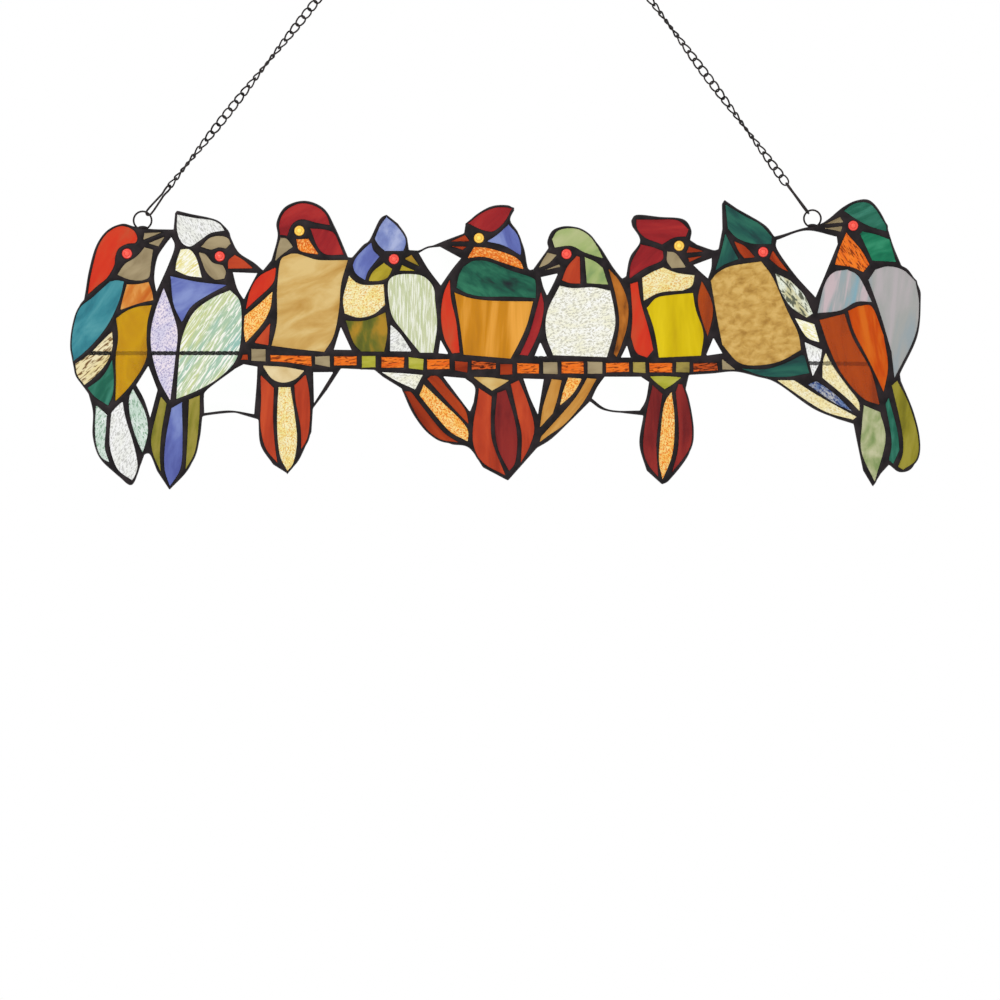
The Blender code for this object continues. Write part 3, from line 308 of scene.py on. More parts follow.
# %% The clear panes that fill the gaps between the birds
GAPS = {
    "neck_1_2": "171.5,236.5 175,247 168,267 / 156.3,293 154,277 157,258 164,246",
    "tail_1_2": "148.5,365 / 158,390 / 150.3,419 144,400 / 136,385",
    "neck_2_3": "232.5,272 / 258,273 250.5,287 / 244,300.3 237,288.5",
    "tail_2_3": ("243.5,364 / 257.8,366.5 257,384 / 254.5,414.5 230,410.8"
                 " / 204,413.3 / 203.5,398 207,389.5 / 235,368.5"),
    "wing_3_4": "340.8,326 / 352,350.3 / 333.5,350",
    "tail_3": "313,372 / 334,371.8 324,388 / 313.8,404.3",
    "neck_4_5": "418.5,253 428,248 / 440,246.5 / 461.5,258.3 452,270 / 440.8,286 428,269",
    "wing_4_5": "440.3,339 / 449,354.5 / 438.2,353.5",
    "tail_4_5": "442.5,376 / 465,378 475,387 / 474,402 / 470,412.5 459,398",
    "neck_5_6": "540.5,277 / 558.5,273 553,285 / 547,296.5 543,287",
    "wing_5_6": "540.3,341.5 / 547.5,357 / 533.5,358",
    "tail_5_6": "523,378.3 / 544,379 541,397 / 538,415.5 530,398",
    "wing_6_7": "627,344.5 / 631,357.8 / 620.5,357.8",
    "tail_6_7": ("604.5,376.5 / 641,376.5 / 649.3,382 646,400"
                 " / 640,410.8 618,411 604,408 / 591.5,398.5 597,387"),
    "neck_7_8": "692.8,265 / 712,257.8 711.5,268 / 708,279 700,272",
    "wing_7_8": "713.3,337 / 722.8,353.5 / 705.5,356",
    "neck_8_9": "776.2,240 806,230.3 / 837,236.5 / 838,244 826.5,272 / 815.5,298 795,275.5 777,250",
}
PANES["infill"] = {name: ("clear", 0, text) for name, text in GAPS.items()}
print("panes so far:", sum(map(len, PANES.values())))

# %% The eyes' places and the outline of the whole
EYES = {
    "bird_1": ("red", 127.3, 253.8),
    "bird_2": ("red", 220.0, 256.5),
    "bird_3": ("yellow", 299.5, 231.0),
    "bird_4": ("red", 394.0, 259.3),
    "bird_5": ("yellow", 479.0, 238.3),
    "bird_6": ("red", 566.5, 254.2),
    "bird_7": ("yellow", 679.0, 246.0),
    "bird_8": ("red", 763.0, 252.2),
    "bird_9": ("red", 852.9, 225.9),
}

SILHOUETTE = (
    "70.2,350 72.5,326 79,306.5 / 84,299.5 / 85.3,292 89,270 96,246 107,230.5 122,223.7"
    " 134,226.3 150,228.8 / 173.5,229.5 / 175,213.2 / 177,210.5 190,213.7 215,219.5 228,230"
    " 231.5,239 239,252.5 254,262.5 / 263,270.3 / 271.5,260 277.5,237 276.5,222 285.5,206.5"
    " 305,200.7 324,208.5 335.5,228 / 348,257 / 352,257.5 363,245 369.5,239.8 379.5,219.5"
    " / 386.5,214.5 / 398,223.5 406.3,236 / 409,250 / 418,250.5 433,245.3 446,240 / 464,233.3"
    " / 465.4,224.5 477,214 492,206 508,205.2 / 514.7,209.5 510.3,220 / 517.5,231 524.3,249"
    " 528,268 / 533,269.5 / 548.5,248 547.3,241 553,230 567,226 583,230 598,244 613,267"
    " / 622,278.5 / 626,276.5 630,257 640,241 / 632,226 / 631,220.5 637,214.7 660,216.8"
    " 683,219 691.3,229.5 / 690.3,240 / 697,244.5 713,250 / 718.5,249 / 722.3,229 / 721.8,204"
    " / 724.5,199.8 / 737,208.5 764,224.3 / 774.5,236.5 / 783,234.3 801,228.6 820,224"
    " / 830,217.8 843,207 857,200.2 871,201 884,218.5 893,245 / 901.5,265.5 909,270.5 919,287"
    " 920.8,300 917.5,336 / 900,374 / 901,381 914,413 920,443 913,467 900,472.3 / 889,464.8"
    " / 881,473.5 / 872.8,486.8 / 863,470.5 857,442 / 853.5,424 / 838,419.2 812,408 777,383.3"
    " 757,376.7 735,371.7 712,373.6 / 689,375 / 685.5,390 / 693.5,427 689,454 670,479.5"
    " / 662,484.5 / 646.5,470.5 639.3,444 / 643.3,415.5 / 625,413.4 603,410 / 590,401.5"
    " / 573,418.5 552,438.5 / 537,448 / 522,465 / 508,480.7 / 483,467.5 469,448 / 452,444.5"
    " 430,435 413,414 / 401.5,388.5 / 383,377 / 374.5,370 / 341,368.5 / 327,390 / 313,408.5"
    " / 311.5,432 299,460 / 286.5,473 / 273,464.5 260.5,445 / 258.3,419.5 / 243,415 232,412.8"
    " 205,415.8 / 202.3,418.5 199,442 189,468.5 / 169.5,490 / 157,471 150,454.5 / 144.5,454.5"
    " / 141.5,463 132,485 / 118,476 100,458.5 92.7,437 92.8,412 / 88.5,394 76,375"
)
print("eyes:", len(EYES), "sides of the outline:", SILHOUETTE.count("/") + 1)

# %% [markdown]
# ## From the cartoon to outlines
#
# A Catmull-Rom curve passes through its points, which suits outlines that were read point by
# point. Each side is sampled finely, then cut into short steps of equal length, because the
# solder beads need evenly spaced points along them.

# %% Outline helpers
STEP = 1.6  # squares between outline points
BLUNTED = 0.6  # one plus the cosine of a corner's turn, below which the corner is blunted
TOUCHING = 0.0001  # squares within which two points are one


def at(point, depth=0.0):
    """The world position of a cartoon point."""
    x, y = point
    return Vector(((x - HANGING_POINT[0]) * SQUARE, depth, (HANGING_POINT[1] - y) * SQUARE))


def squares(length):
    return length / SQUARE


def through(points, steps=10):
    """A smooth curve through the points."""
    padded = [points[0] * 2 - points[1]] + points + [points[-1] * 2 - points[-2]]
    curve = []
    for a, b, c, d in zip(padded, padded[1:], padded[2:], padded[3:]):
        for i in range(steps):
            t = i / steps
            curve.append(0.5 * (2 * b + (c - a) * t + (2 * a - 5 * b + 4 * c - d) * t**2
                                + (3 * b - a - 3 * c + d) * t**3))
    return curve + [points[-1]]


def even(run, step):
    """The run cut into equal steps, without its last point."""
    lengths = [(b - a).length for a, b in zip(run, run[1:])]
    total = sum(lengths)
    count = max(1, round(total / step))
    points, travelled, i = [run[0]], 0.0, 0
    for k in range(1, count):
        target = total * k / count
        while travelled + lengths[i] < target:
            travelled += lengths[i]
            i += 1
        points.append(run[i].lerp(run[i + 1], (target - travelled) / lengths[i]))
    return points


def area(loop):
    return 0.5 * sum(a.x * b.y - b.x * a.y for a, b in zip(loop, loop[1:] + loop[:1]))


def outline(text, step=STEP):
    sides = [[Vector(map(float, pair.split(","))) for pair in side.split()]
             for side in text.split("/")]
    loop = []
    for side, following in zip(sides, sides[1:] + sides[:1]):
        run = side + [following[0]]
        loop += even(through(run) if len(run) > 2 else run, step)
    return loop if area(loop) > 0 else loop[::-1]


def offset(loop, distance):
    """The loop moved outwards by the distance. Corners stay sharp, but the sharpest are blunted."""
    moved = []
    for a, b, c in zip(loop[-1:] + loop[:-1], loop, loop[1:] + loop[:1]):
        into, out = (b - a).normalized(), (c - b).normalized()
        side = Vector((into.y + out.y, -into.x - out.x))
        moved.append(b + side * (distance / max(1 + into.dot(out), BLUNTED)))
    return moved


def circle(x, y, radius, sides):
    turn = 2 * math.pi / sides
    return [Vector((x + radius * math.cos(i * turn), y + radius * math.sin(i * turn)))
            for i in range(sides)]


def arrangement(loops, loose=()):
    """Triangulates the loops and the loose points together."""
    points, faces = [], []
    for loop in loops:
        faces.append(list(range(len(points), len(points) + len(loop))))
        points += loop
    points += list(loose)
    verts, _, triangles, _, _, inside = delaunay_2d_cdt(points, [], faces, 0, TOUCHING, True)
    return verts, triangles, inside


def outer_loop(loops):
    """The longest outline round all the loops together."""
    verts, triangles, inside = arrangement(loops)
    edges = {(t[i], t[(i + 1) % 3]) for t, within in zip(triangles, inside) if within
             for i in range(3)}
    following = {a: b for a, b in edges if (b, a) not in edges}
    best = []
    while following:
        start, current = next(iter(following.items()))
        del following[start]
        loop = [start]
        while current != start:
            loop.append(current)
            current = following.pop(current)
        if len(loop) > len(best):
            best = loop
    return [verts[i] for i in best]


# %% Every pane's outline, and the outline of the whole
EYE_DIAMETER = 0.0076
EYE_SIDES = 28
EDGE_LEAD = 0.0012  # the least lead outside the outer panes

drawn = {f"{group}_{name}": pane for group, panes in PANES.items() for name, pane in panes.items()}
outlines = {name: outline(text) for name, (_, _, text) in drawn.items()}
eye_circles = [circle(x, y, squares(EYE_DIAMETER / 2), EYE_SIDES) for _, x, y in EYES.values()]
openings = list(outlines.values()) + eye_circles
leaded = [offset(loop, squares(EDGE_LEAD)) for loop in openings]
silhouette = outer_loop(leaded + [outline(SILHOUETTE)])
silhouette = even(silhouette + silhouette[:1], STEP)
print("outline points:", sum(map(len, openings)) + len(silhouette))

# %% [markdown]
# ## The solder lines
#
# Foil is folded over each pane's edge and solder is run along it. It lies over the glass as a
# rounded bead, highest along its middle. A bevel would cut into itself where the lines are
# narrow. So the flat region between the panes is triangulated with rows of points beside each
# pane, and each point is raised by its distance from the nearest edge. The bead so grows rounder
# where lines meet, as real solder does. The back is the front mirrored.

# %% Rows of points beside every edge
SOLDER_LAP = 0.0002  # how far the solder lies over each pane's edge
BEAD_ROWS = (0.0004, 0.0009, 0.0015, 0.0022)  # their distances from the edge
SAMPLE_STEP = 0.3  # squares between the points of a search tree
LAP_KEPT = 0.93  # of the lap, and a point that is nearer to the edge has crossed a sharp tip
ROW_KEPT = 0.9  # of a row's distance, and a point that is nearer is left out


def nearest_to(loops):
    """A search tree of closely spaced points on the loops."""
    samples = [p for loop in loops for p in even(loop + loop[:1], SAMPLE_STEP)]
    tree = kdtree.KDTree(len(samples))
    for i, p in enumerate(samples):
        tree.insert((p.x, p.y, 0), i)
    tree.balance()
    return tree


def lapped(loop):
    """The loop drawn in by the solder's lap, without the points that a sharp tip would cross."""
    tree, lap = nearest_to([loop]), squares(SOLDER_LAP)
    return [p for p in offset(loop, -lap) if tree.find((p.x, p.y, 0))[2] > lap * LAP_KEPT]


def rows_beside(loop, direction, trees):
    """Points in rows on one side of the loop, without those that come near another edge."""
    kept = []
    for reach in BEAD_ROWS:
        away = squares(reach)
        for p in offset(loop, away * direction):
            nearest = min(tree.find((p.x, p.y, 0))[2] for tree in trees)
            if nearest > away * ROW_KEPT:
                kept.append(p)
    return kept


seats = [lapped(loop) for loop in openings]
glass_tree, rim_tree = nearest_to(seats), nearest_to([silhouette])
loose = [p for loop in seats for p in rows_beside(loop, 1, (glass_tree, rim_tree))]
loose += rows_beside(silhouette, -1, (glass_tree, rim_tree))
verts, triangles, inside = arrangement([silhouette] + seats, loose)
print("points beside the edges:", len(loose))

# %% The height of the solder
BEAD_FRONT = 0.0025  # height over the middle of the glass
BEAD_START = 0.0013  # where the bead leaves the glass
BEAD_REACH = 0.0019  # from the glass's edge to the bead's full height
RIM_REACH = 0.0022
LUMP_SIZE = 0.007
LUMP_HEIGHT = 0.00016
LUMP_SUNK = 0.7  # of a lump's height, so that lumps dent the bead more than they raise it
FINE_LUMPS = 2.3  # times as fine as the large ones
FINE_SHARE = 0.5


def dome(distance, reach):
    """0 at the edge, 1 from the reach on, along a quarter of a circle."""
    return math.sqrt(1 - (1 - min(distance / reach, 1)) ** 2)


def bead_height(p):
    glass = glass_tree.find((p.x, p.y, 0))[2] * SQUARE
    rim = rim_tree.find((p.x, p.y, 0))[2] * SQUARE
    over_glass = BEAD_START + (BEAD_FRONT - BEAD_START) * dome(glass, BEAD_REACH)
    over_rim = BEAD_FRONT * dome(rim, RIM_REACH)
    large, fine = at(p) / LUMP_SIZE, at(p) / LUMP_SIZE * FINE_LUMPS
    swell = noise.noise(large) + FINE_SHARE * noise.noise(fine)
    inner = dome(min(glass, rim), BEAD_REACH)
    return max(0.0, min(over_glass, over_rim) + LUMP_HEIGHT * (swell - LUMP_SUNK) * inner)


# %% Raise the front, mirror it and close it
ON_GLASS = 0.7  # share of the bead's start above which an edge lies on glass
SAME_PLACE = 1e-6
sheet = bmesh.new()
front = {}
for t, within in zip(triangles, inside):
    if within == [0]:
        for i in t:
            if i not in front:
                front[i] = sheet.verts.new(at(verts[i], -bead_height(verts[i])))
        sheet.faces.new([front[i] for i in t])
rim_edges = [e for e in sheet.edges if e.is_boundary]
glass_edges = [e for e in rim_edges if min(-v.co.y for v in e.verts) > BEAD_START * ON_GLASS]
for v in {v for e in set(rim_edges) - set(glass_edges) for v in e.verts}:
    v.co.y = 0.0
geometry = bmesh.ops.duplicate(sheet, geom=sheet.verts[:] + sheet.edges[:] + sheet.faces[:])["geom"]
back = [g for g in geometry if isinstance(g, bmesh.types.BMVert)]
bmesh.ops.scale(sheet, vec=(1, -1, 1), verts=back)
walls = bmesh.ops.extrude_edge_only(sheet, edges=glass_edges)["geom"]
for v in (g for g in walls if isinstance(g, bmesh.types.BMVert)):
    v.co.y = -v.co.y
bmesh.ops.remove_doubles(sheet, verts=sheet.verts, dist=SAME_PLACE)
bmesh.ops.recalc_face_normals(sheet, faces=sheet.faces)
print("solder faces:", len(sheet.faces), "open edges:", sum(e.is_boundary for e in sheet.edges))

# %% A helper that turns a bmesh into a piece of the panel
CREASE = math.radians(50)


def piece(name, bm, slot, *nodes, smooth=True):
    """Makes the bmesh an object with its name, and hides the CAD nodes that it stands for. The slot is
    not used.
    """
    mesh = bpy.data.meshes.new(name)
    bm.to_mesh(mesh)
    bm.free()
    if smooth:
        mesh.shade_smooth()
    item = bpy.data.objects.new(name, mesh)
    bpy.context.scene.collection.objects.link(item)
    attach(item, "root")
    if nodes:
        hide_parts(*nodes)
    return item


solder = piece("solder_lines", sheet, "patinated_lead", "lead_lines")
solder.data.set_sharp_from_angle(angle=CREASE)
print("solder lines:", len(solder.data.polygons), "faces")

# %% [markdown]
# ## Finishes
#
# The solder is blackened with patina: nearly black, dull, with a slight metal gleam where it was
# rubbed. The glass is coloured through. Opalescent sheets are clouded and streaked and let some
# light pass, granite sheets are pebbled, and clear sheets carry only ripples. Each glass reads a
# UV map named sheet, laid in metres and turned so that its grain runs as the cutter placed it.
# Colours are given as the eye sees them, and converted to the linear values that
# shaders need.

# %% Colour and node helpers
def paint(red, green, blue):
    """A colour from 0 to 255 a channel, as linear light."""
    def linear(c):
        c /= 255
        return c / 12.92 if c <= 0.04045 else ((c + 0.055) / 1.055) ** 2.4
    return (linear(red), linear(green), linear(blue), 1.0)


class Nodes:
    """A material and short ways to add to its node tree."""

    def __init__(self, name):
        self.material = bpy.data.materials.new(name)
        self.material.use_nodes = True
        self.tree = self.material.node_tree
        self.shader = self.tree.nodes["Principled BSDF"]

    def add(self, kind, inputs=None, **settings):
        node = self.tree.nodes.new(kind)
        for key, value in settings.items():
            setattr(node, key, value)
        for key, value in (inputs or {}).items():
            self.set(node.inputs[key], value)
        return node

    def set(self, socket, value):
        if isinstance(value, bpy.types.NodeSocket):
            self.tree.links.new(value, socket)
        else:
            socket.default_value = value

    def shade(self, **values):
        for key, value in values.items():
            self.set(self.shader.inputs[key.replace("_", " ")], value)

    def object_place(self):
        return self.add("ShaderNodeTexCoord").outputs["Object"]

    def sheet_place(self, stretch):
        uv = self.add("ShaderNodeUVMap", uv_map="sheet").outputs["UV"]
        return self.add("ShaderNodeMapping", {"Vector": uv, "Scale": stretch}).outputs["Vector"]

    def noise(self, place, scale, detail=3.0, rough=0.55, distortion=0.0):
        inputs = {"Vector": place, "Scale": scale, "Detail": detail, "Roughness": rough,
                  "Distortion": distortion}
        return self.add("ShaderNodeTexNoise", inputs).outputs["Fac"]

    def ramp(self, value, *stops):
        node = self.add("ShaderNodeValToRGB", {"Fac": value})
        elements = node.color_ramp.elements
        while len(elements) < len(stops):
            elements.new(0.5)
        for element, (place, colour) in zip(elements, stops):
            element.position = place
            element.color = colour
        return node.outputs["Color"]

    def mix(self, share, a, b):
        node = self.add("ShaderNodeMix", data_type="RGBA")
        self.set(node.inputs[0], share)
        self.set(node.inputs[6], a)
        self.set(node.inputs[7], b)
        return node.outputs[2]

    def bump(self, height, distance, strength=1.0, under=None):
        inputs = {"Height": height, "Distance": distance, "Strength": strength}
        if under is not None:
            inputs["Normal"] = under
        return self.add("ShaderNodeBump", inputs).outputs["Normal"]


# %% Blackened solder and wire
def blackened(name, body, worn, roughness):
    """A dark finish, lighter where it is worn and rougher in places."""
    n = Nodes(name)
    place = n.object_place()
    smooth, rough = ((r,) * 3 + (1,) for r in (roughness, roughness + 0.15))
    n.shade(Base_Color=n.ramp(n.noise(place, 90, 4), (0.4, body), (0.75, worn)),
            Roughness=n.ramp(n.noise(place, 400, 2), (0.3, smooth), (0.7, rough)),
            Specular_IOR_Level=0.12, Normal=n.bump(n.noise(place, 700, 3), 0.0002, 0.35))
    return n.material


SOLDER = blackened("blackened_solder", paint(22, 18, 20), paint(46, 38, 40), 0.34)
WIRE = blackened("blackened_wire", paint(26, 23, 23), paint(56, 48, 47), 0.3)
solder.data.materials.append(SOLDER)
print("finishes:", SOLDER.name, WIRE.name)

# %% [markdown]
# ## The glass kinds
#
# Each kind is a row of colours and numbers, because the sheets differ only in those. Body is the
# main colour, wisp the cloud that was folded into it in the furnace, fleck the small grains or
# strands. Stretch draws all of them out along the grain. The cloud and the fleck have a size, in
# millimetres across the grain, and the fleck covers a share of the sheet. Where that share is 0,
# the fleck's colour is a third shade of the cloud. Pebble is the roughness of a granite or
# hammered face. Clarity is the share of light that goes straight through. Where a row ends early,
# its sheet has no fleck, no pebble or only the clarity of an opalescent sheet.

# %% Table of glass kinds
KINDS = {  # body, wisp, fleck, stretch, cloud, grain, share of fleck, pebble, clarity
    "flame_red": ((208, 58, 34), (188, 84, 52), (200, 44, 30), 3, 20, 3),
    "brick_red": ((180, 63, 36), (196, 76, 42), (154, 50, 30), 5, 12, 3),
    "rust_red": ((160, 56, 24), (176, 66, 28), (128, 40, 18), 5, 12, 3),
    "cherry": ((150, 36, 40), (172, 48, 46), (120, 28, 32), 4, 12, 3),
    "wine_red": ((132, 40, 38), (150, 48, 42), (104, 30, 32), 5, 12, 3),
    "orange": ((198, 76, 12), (212, 104, 26), (174, 62, 12), 5, 10, 4),
    "apricot": ((208, 128, 54), (228, 170, 92), (192, 98, 34), 3, 9, 4),
    "orange_granite": ((232, 122, 34), (210, 92, 26), (248, 180, 98), 1.5, 5, 1.1, 0.35, 0.5),
    "orange_grain": ((244, 128, 40), (226, 100, 28), (134, 54, 18), 5, 4, 1.2, 0.3, 0.3),
    "rust_grain": ((226, 100, 36), (170, 70, 28), (76, 30, 16), 5, 4, 1.2, 0.42, 0.3),
    "rust": ((178, 70, 8), (192, 80, 12), (148, 56, 12), 5, 18, 4, 0, 0, 0.6),
    "gold_granite": ((248, 196, 98), (250, 218, 140), (232, 130, 36), 1.4, 5, 1.0, 0.45, 0.6),
    "pale_granite": ((252, 246, 202), (248, 234, 156), (232, 180, 90), 1.4, 7, 1.0, 0.36, 0.6, 0.25),
    "amber": ((212, 162, 4), (198, 142, 6), (180, 126, 6), 2.5, 20, 4, 0, 0, 0.65),
    "toffee": ((200, 132, 28), (232, 164, 68), (174, 112, 24), 9, 14, 3),
    "caramel": ((194, 136, 60), (210, 158, 84), (174, 112, 42), 6, 9, 3),
    "tortoise": ((162, 94, 32), (188, 114, 42), (86, 46, 22), 1.8, 10, 7),
    "mustard": ((170, 152, 42), (188, 168, 58), (146, 126, 32), 3, 9, 3),
    "mustard_tan": ((152, 136, 70), (172, 154, 78), (128, 114, 58), 3, 5, 2),
    "yellow": ((212, 184, 12), (224, 198, 26), (196, 166, 10), 5, 14, 3),
    "pale_yellow": ((250, 244, 210), (250, 236, 176), (230, 208, 146), 1.6, 6, 1.1, 0.33, 0.15, 0.8),
    "lime": ((172, 170, 56), (186, 182, 80), (154, 150, 44), 4, 7, 3),
    "lime_olive": ((138, 130, 38), (156, 146, 56), (116, 110, 32), 6, 8, 3),
    "moss": ((104, 106, 38), (172, 132, 42), (74, 80, 36), 2, 16, 5),
    "olive": ((134, 128, 46), (156, 144, 66), (96, 98, 38), 3, 10, 3),
    "leaf": ((160, 178, 112), (184, 190, 138), (128, 154, 98), 2, 16, 5, 0, 0, 0.15),
    "jade_swirl": ((160, 170, 120), (196, 196, 158), (112, 140, 78), 1.4, 11, 6, 0, 0, 0.15),
    "misty_green": ((238, 244, 240), (208, 228, 214), (150, 184, 158), 2.5, 8, 1.2, 0.33, 0.15, 0.8),
    "teal": ((60, 134, 146), (82, 152, 160), (38, 104, 120), 3, 12, 3),
    "sea_green": ((36, 100, 80), (62, 130, 110), (24, 80, 70), 4, 9, 3),
    "green": ((28, 118, 84), (52, 140, 104), (20, 94, 70), 4, 9, 3),
    "forest": ((32, 88, 70), (50, 118, 90), (34, 40, 44), 2.5, 9, 4),
    "forest_plain": ((34, 84, 76), (50, 112, 92), (34, 54, 58), 3, 12, 3),
    "blue": ((100, 112, 178), (132, 146, 200), (82, 90, 156), 3, 14, 4),
    "smoke_blue": ((124, 138, 192), (168, 178, 216), (102, 112, 170), 1.5, 16, 6, 0, 0, 0.15),
    "lavender": ((242, 230, 238), (216, 211, 232), (164, 156, 196), 1.5, 10, 1.0, 0.33, 0.15, 1.0),
    "tan": ((152, 136, 104), (168, 152, 118), (132, 116, 86), 3, 10, 3),
    "honey": ((204, 166, 96), (218, 188, 124), (188, 144, 72), 2.4, 12, 3),
    "pale_honey": ((218, 194, 144), (228, 208, 162), (204, 176, 120), 2, 10, 3),
    # hammered_honey's three cloud shades are partly the glass's own tone, partly painted light and
    # shade of its bumps.
    "hammered_honey": ((196, 155, 80), (214, 176, 102), (168, 126, 58), 1.4, 5, 3.4, 0, 1.0),
    "opal": ((158, 165, 166), (198, 180, 184), (134, 168, 180), 8, 6, 6),
    "opal_grey": ((164, 165, 162), (180, 173, 175), (152, 162, 166), 6, 12, 6),
    "grained_clear": ((232, 214, 150), (240, 228, 188), (116, 82, 40), 6, 6, 1.4, 0.38, 0.15, 1.0),
    "straw_clear": ((244, 240, 196), (230, 216, 128), (253, 251, 238), 4, 8, 1.3, 0.45, 0.15, 1.0),
    "meadow_clear": ((206, 212, 148), (148, 192, 180), (248, 248, 238), 9, 14, 1.3, 0.38, 0.15, 1.0),
    "reed_clear": ((206, 211, 172), (194, 204, 158), (238, 240, 224), 14, 8, 1.2, 0.42, 0.15, 0.95),
    "frosted_clear": ((252, 252, 248), (244, 242, 218), (208, 206, 188), 1.6, 7, 1.3, 0.36, 0.15, 0.95),
    "silver_clear": ((251, 251, 252), (240, 241, 234), (200, 200, 196), 2.5, 9, 1.1, 0.36, 0.15, 0.95),
    "smoky_clear": ((232, 238, 224), (206, 200, 154), (92, 96, 78), 3, 6, 2.0, 0.4, 0.15, 1.0),
    "blue_clear": ((100, 128, 178), (196, 196, 196), (52, 74, 134), 1.6, 7, 1.4, 0.42, 0.5, 0.6),
    "clear": ((255, 255, 255), (254, 255, 254), (253, 254, 253), 2, 30, 5, 0, 0, 1.0),
}
print("glass kinds:", len(KINDS))

# %% Glass of each kind
GLINT = paint(180, 180, 180)  # weak, because the panel hangs against the light
OPALESCENT = 0.12  # the little light that a clouded sheet lets through


def sheet_glass(name, body, wisp, fleck, stretch, cloud, grain, share=0, pebble=0,
                clarity=OPALESCENT):
    """One kind of glass as a material."""
    n = Nodes(name)
    body, wisp, fleck = paint(*body), paint(*wisp), paint(*fleck)
    along = n.sheet_place((1 / stretch, 1, 1))
    clouds = n.noise(along, 1000 / cloud, 4, 0.55, 0.4)
    grains = n.noise(along, 1000 / grain, 2, 0.6, 0.6)
    if share:
        colour = n.ramp(clouds, (0.38, body), (0.62, wisp))
        edge = 0.5 + 0.3 * (0.5 - share)
        covered = n.ramp(grains, (edge - 0.04, (0, 0, 0, 1)), (edge + 0.05, (1, 1, 1, 1)))
        colour = n.mix(covered, colour, fleck)
    else:
        colour = n.ramp(clouds, (0.3, fleck), (0.47, body), (0.64, wisp))
    normal = n.bump(clouds, 0.001, 0.2)
    if pebble:
        normal = n.bump(grains, 0.0005, pebble, normal)
    n.shade(Base_Color=colour, Roughness=0.02 + 0.08 * (1 - clarity), Normal=normal,
            Specular_IOR_Level=0.12, Specular_Tint=GLINT, Transmission_Weight=clarity, IOR=1.5)
    return n.material


GLASS = {name: sheet_glass(name + "_glass", *row) for name, row in KINDS.items()}
print("glass materials:", len(GLASS))

# %% [markdown]
# ## The panes
#
# A pane is a flat cut from a sheet, so its outline is filled and extruded by the glass's
# thickness. It reaches a little under the solder, as real glass reaches into its foil. The
# larger panes stand for their own CAD nodes. Each bird's small panes are one piece, and so are
# the perch's tiles and the small clear panes.

# %% Cut the panes
GLASS_HALF = 0.0015  # half the thickness of the sheets
UNDER_SOLDER = 0.0004
SHEET_SHIFT = 0.37  # for each face before it, so that no two panes show the same part of a sheet


def cut(bm, uv, loop, angle, material_index, shift):
    """Adds one pane to the bmesh, with its grain at the angle."""
    before = set(bm.faces)
    corners = [bm.verts.new(at(p, -GLASS_HALF)) for p in offset(loop, squares(UNDER_SOLDER))]
    face = bm.faces.new(corners)
    body = bmesh.ops.extrude_face_region(bm, geom=[face], use_keep_orig=True)["geom"]
    moved = [g for g in body if isinstance(g, bmesh.types.BMVert)]
    bmesh.ops.translate(bm, vec=(0, 2 * GLASS_HALF, 0), verts=moved)
    turn = Matrix.Rotation(math.radians(-angle), 2)
    for f in set(bm.faces) - before:
        f.material_index = material_index
        for corner in f.loops:
            corner[uv].uv = turn @ Vector((corner.vert.co.x + shift, corner.vert.co.z))


def glaze(name, panes, slot, *nodes):
    """One piece of the panel made of these panes."""
    bm = bmesh.new()
    uv = bm.loops.layers.uv.new("sheet")
    kinds = sorted({drawn[pane][0] for pane in panes})
    for pane in panes:
        kind, angle, _ = drawn[pane]
        cut(bm, uv, outlines[pane], angle, kinds.index(kind), SHEET_SHIFT * len(bm.faces))
    bmesh.ops.triangulate(bm, faces=[f for f in bm.faces if len(f.verts) > 4])
    bmesh.ops.recalc_face_normals(bm, faces=bm.faces)
    item = piece(name, bm, slot, *nodes, smooth=False)
    for kind in kinds:
        item.data.materials.append(GLASS[kind])
    return item


slots = {s["node"]: s["material_slot"] for s in frame["record"]["subparts"]}
own = [name for name in outlines if name in frame["nodes"]]
for name in own:
    glaze(f"{name}_pane", [name], slots[name], name)
for group in PANES:
    small = [name for name in outlines if name.startswith(group) and name not in own]
    if small:
        glaze(f"{group}_small_panes", small, "clear_glass" if group == "infill" else "orange_glass")
print("panes with their own node:", len(own), "smaller ones:", len(outlines) - len(own))

# %% [markdown]
# ## The eyes
#
# Each eye is a pressed glass jewel: a flat rim, a groove and a round dome. Its profile is a few
# points turned about the eye's axis. A colour attribute named shade paints light and shade into the
# colour: a painted highlight on the top of the dome, and painted shade towards the groove and the rim.

# %% Turn the jewels
EYE_HALF = EYE_DIAMETER / 2
# The shade column is painted shade: 0 gives the dome's painted highlight, 1 the darkest painted shade.
EYE_PROFILE = (  # radius, height over the middle of the glass, and shade
    (0.0, 0.0031, 0.0), (0.0008, 0.00302, 0.05), (0.0014, 0.0027, 0.15), (0.0019, 0.0022, 0.4),
    (0.00215, 0.00185, 0.55), (0.0024, 0.0019, 0.35), (0.0029, 0.0021, 0.3), (0.0034, 0.0019, 0.6),
    (EYE_HALF, GLASS_HALF, 0.9), (EYE_HALF, -GLASS_HALF, 1.0), (0.0, -GLASS_HALF, 1.0),
)
# Each jewel's colour as a painted highlight for the dome, then in painted shade for the groove and rim.
EYE_COLOURS = {
    "red": (paint(255, 92, 74), paint(196, 20, 26)),
    "yellow": (paint(255, 222, 96), paint(214, 136, 12)),
}


def jewel_material(name, bright, dark):
    """Pressed glass, from a painted highlight on the dome to painted shade in the groove."""
    n = Nodes(name)
    shade = n.add("ShaderNodeAttribute", attribute_name="shade").outputs["Fac"]
    n.shade(Base_Color=n.mix(shade, bright, dark), Roughness=0.06, Specular_IOR_Level=0.4)
    return n.material


def shade_at(co):
    """The shade of the profile point that is nearest to the place."""
    r = math.hypot(co.x, co.z)
    return min(EYE_PROFILE, key=lambda row: abs(row[0] - r) + abs(row[1] + co.y))[2]


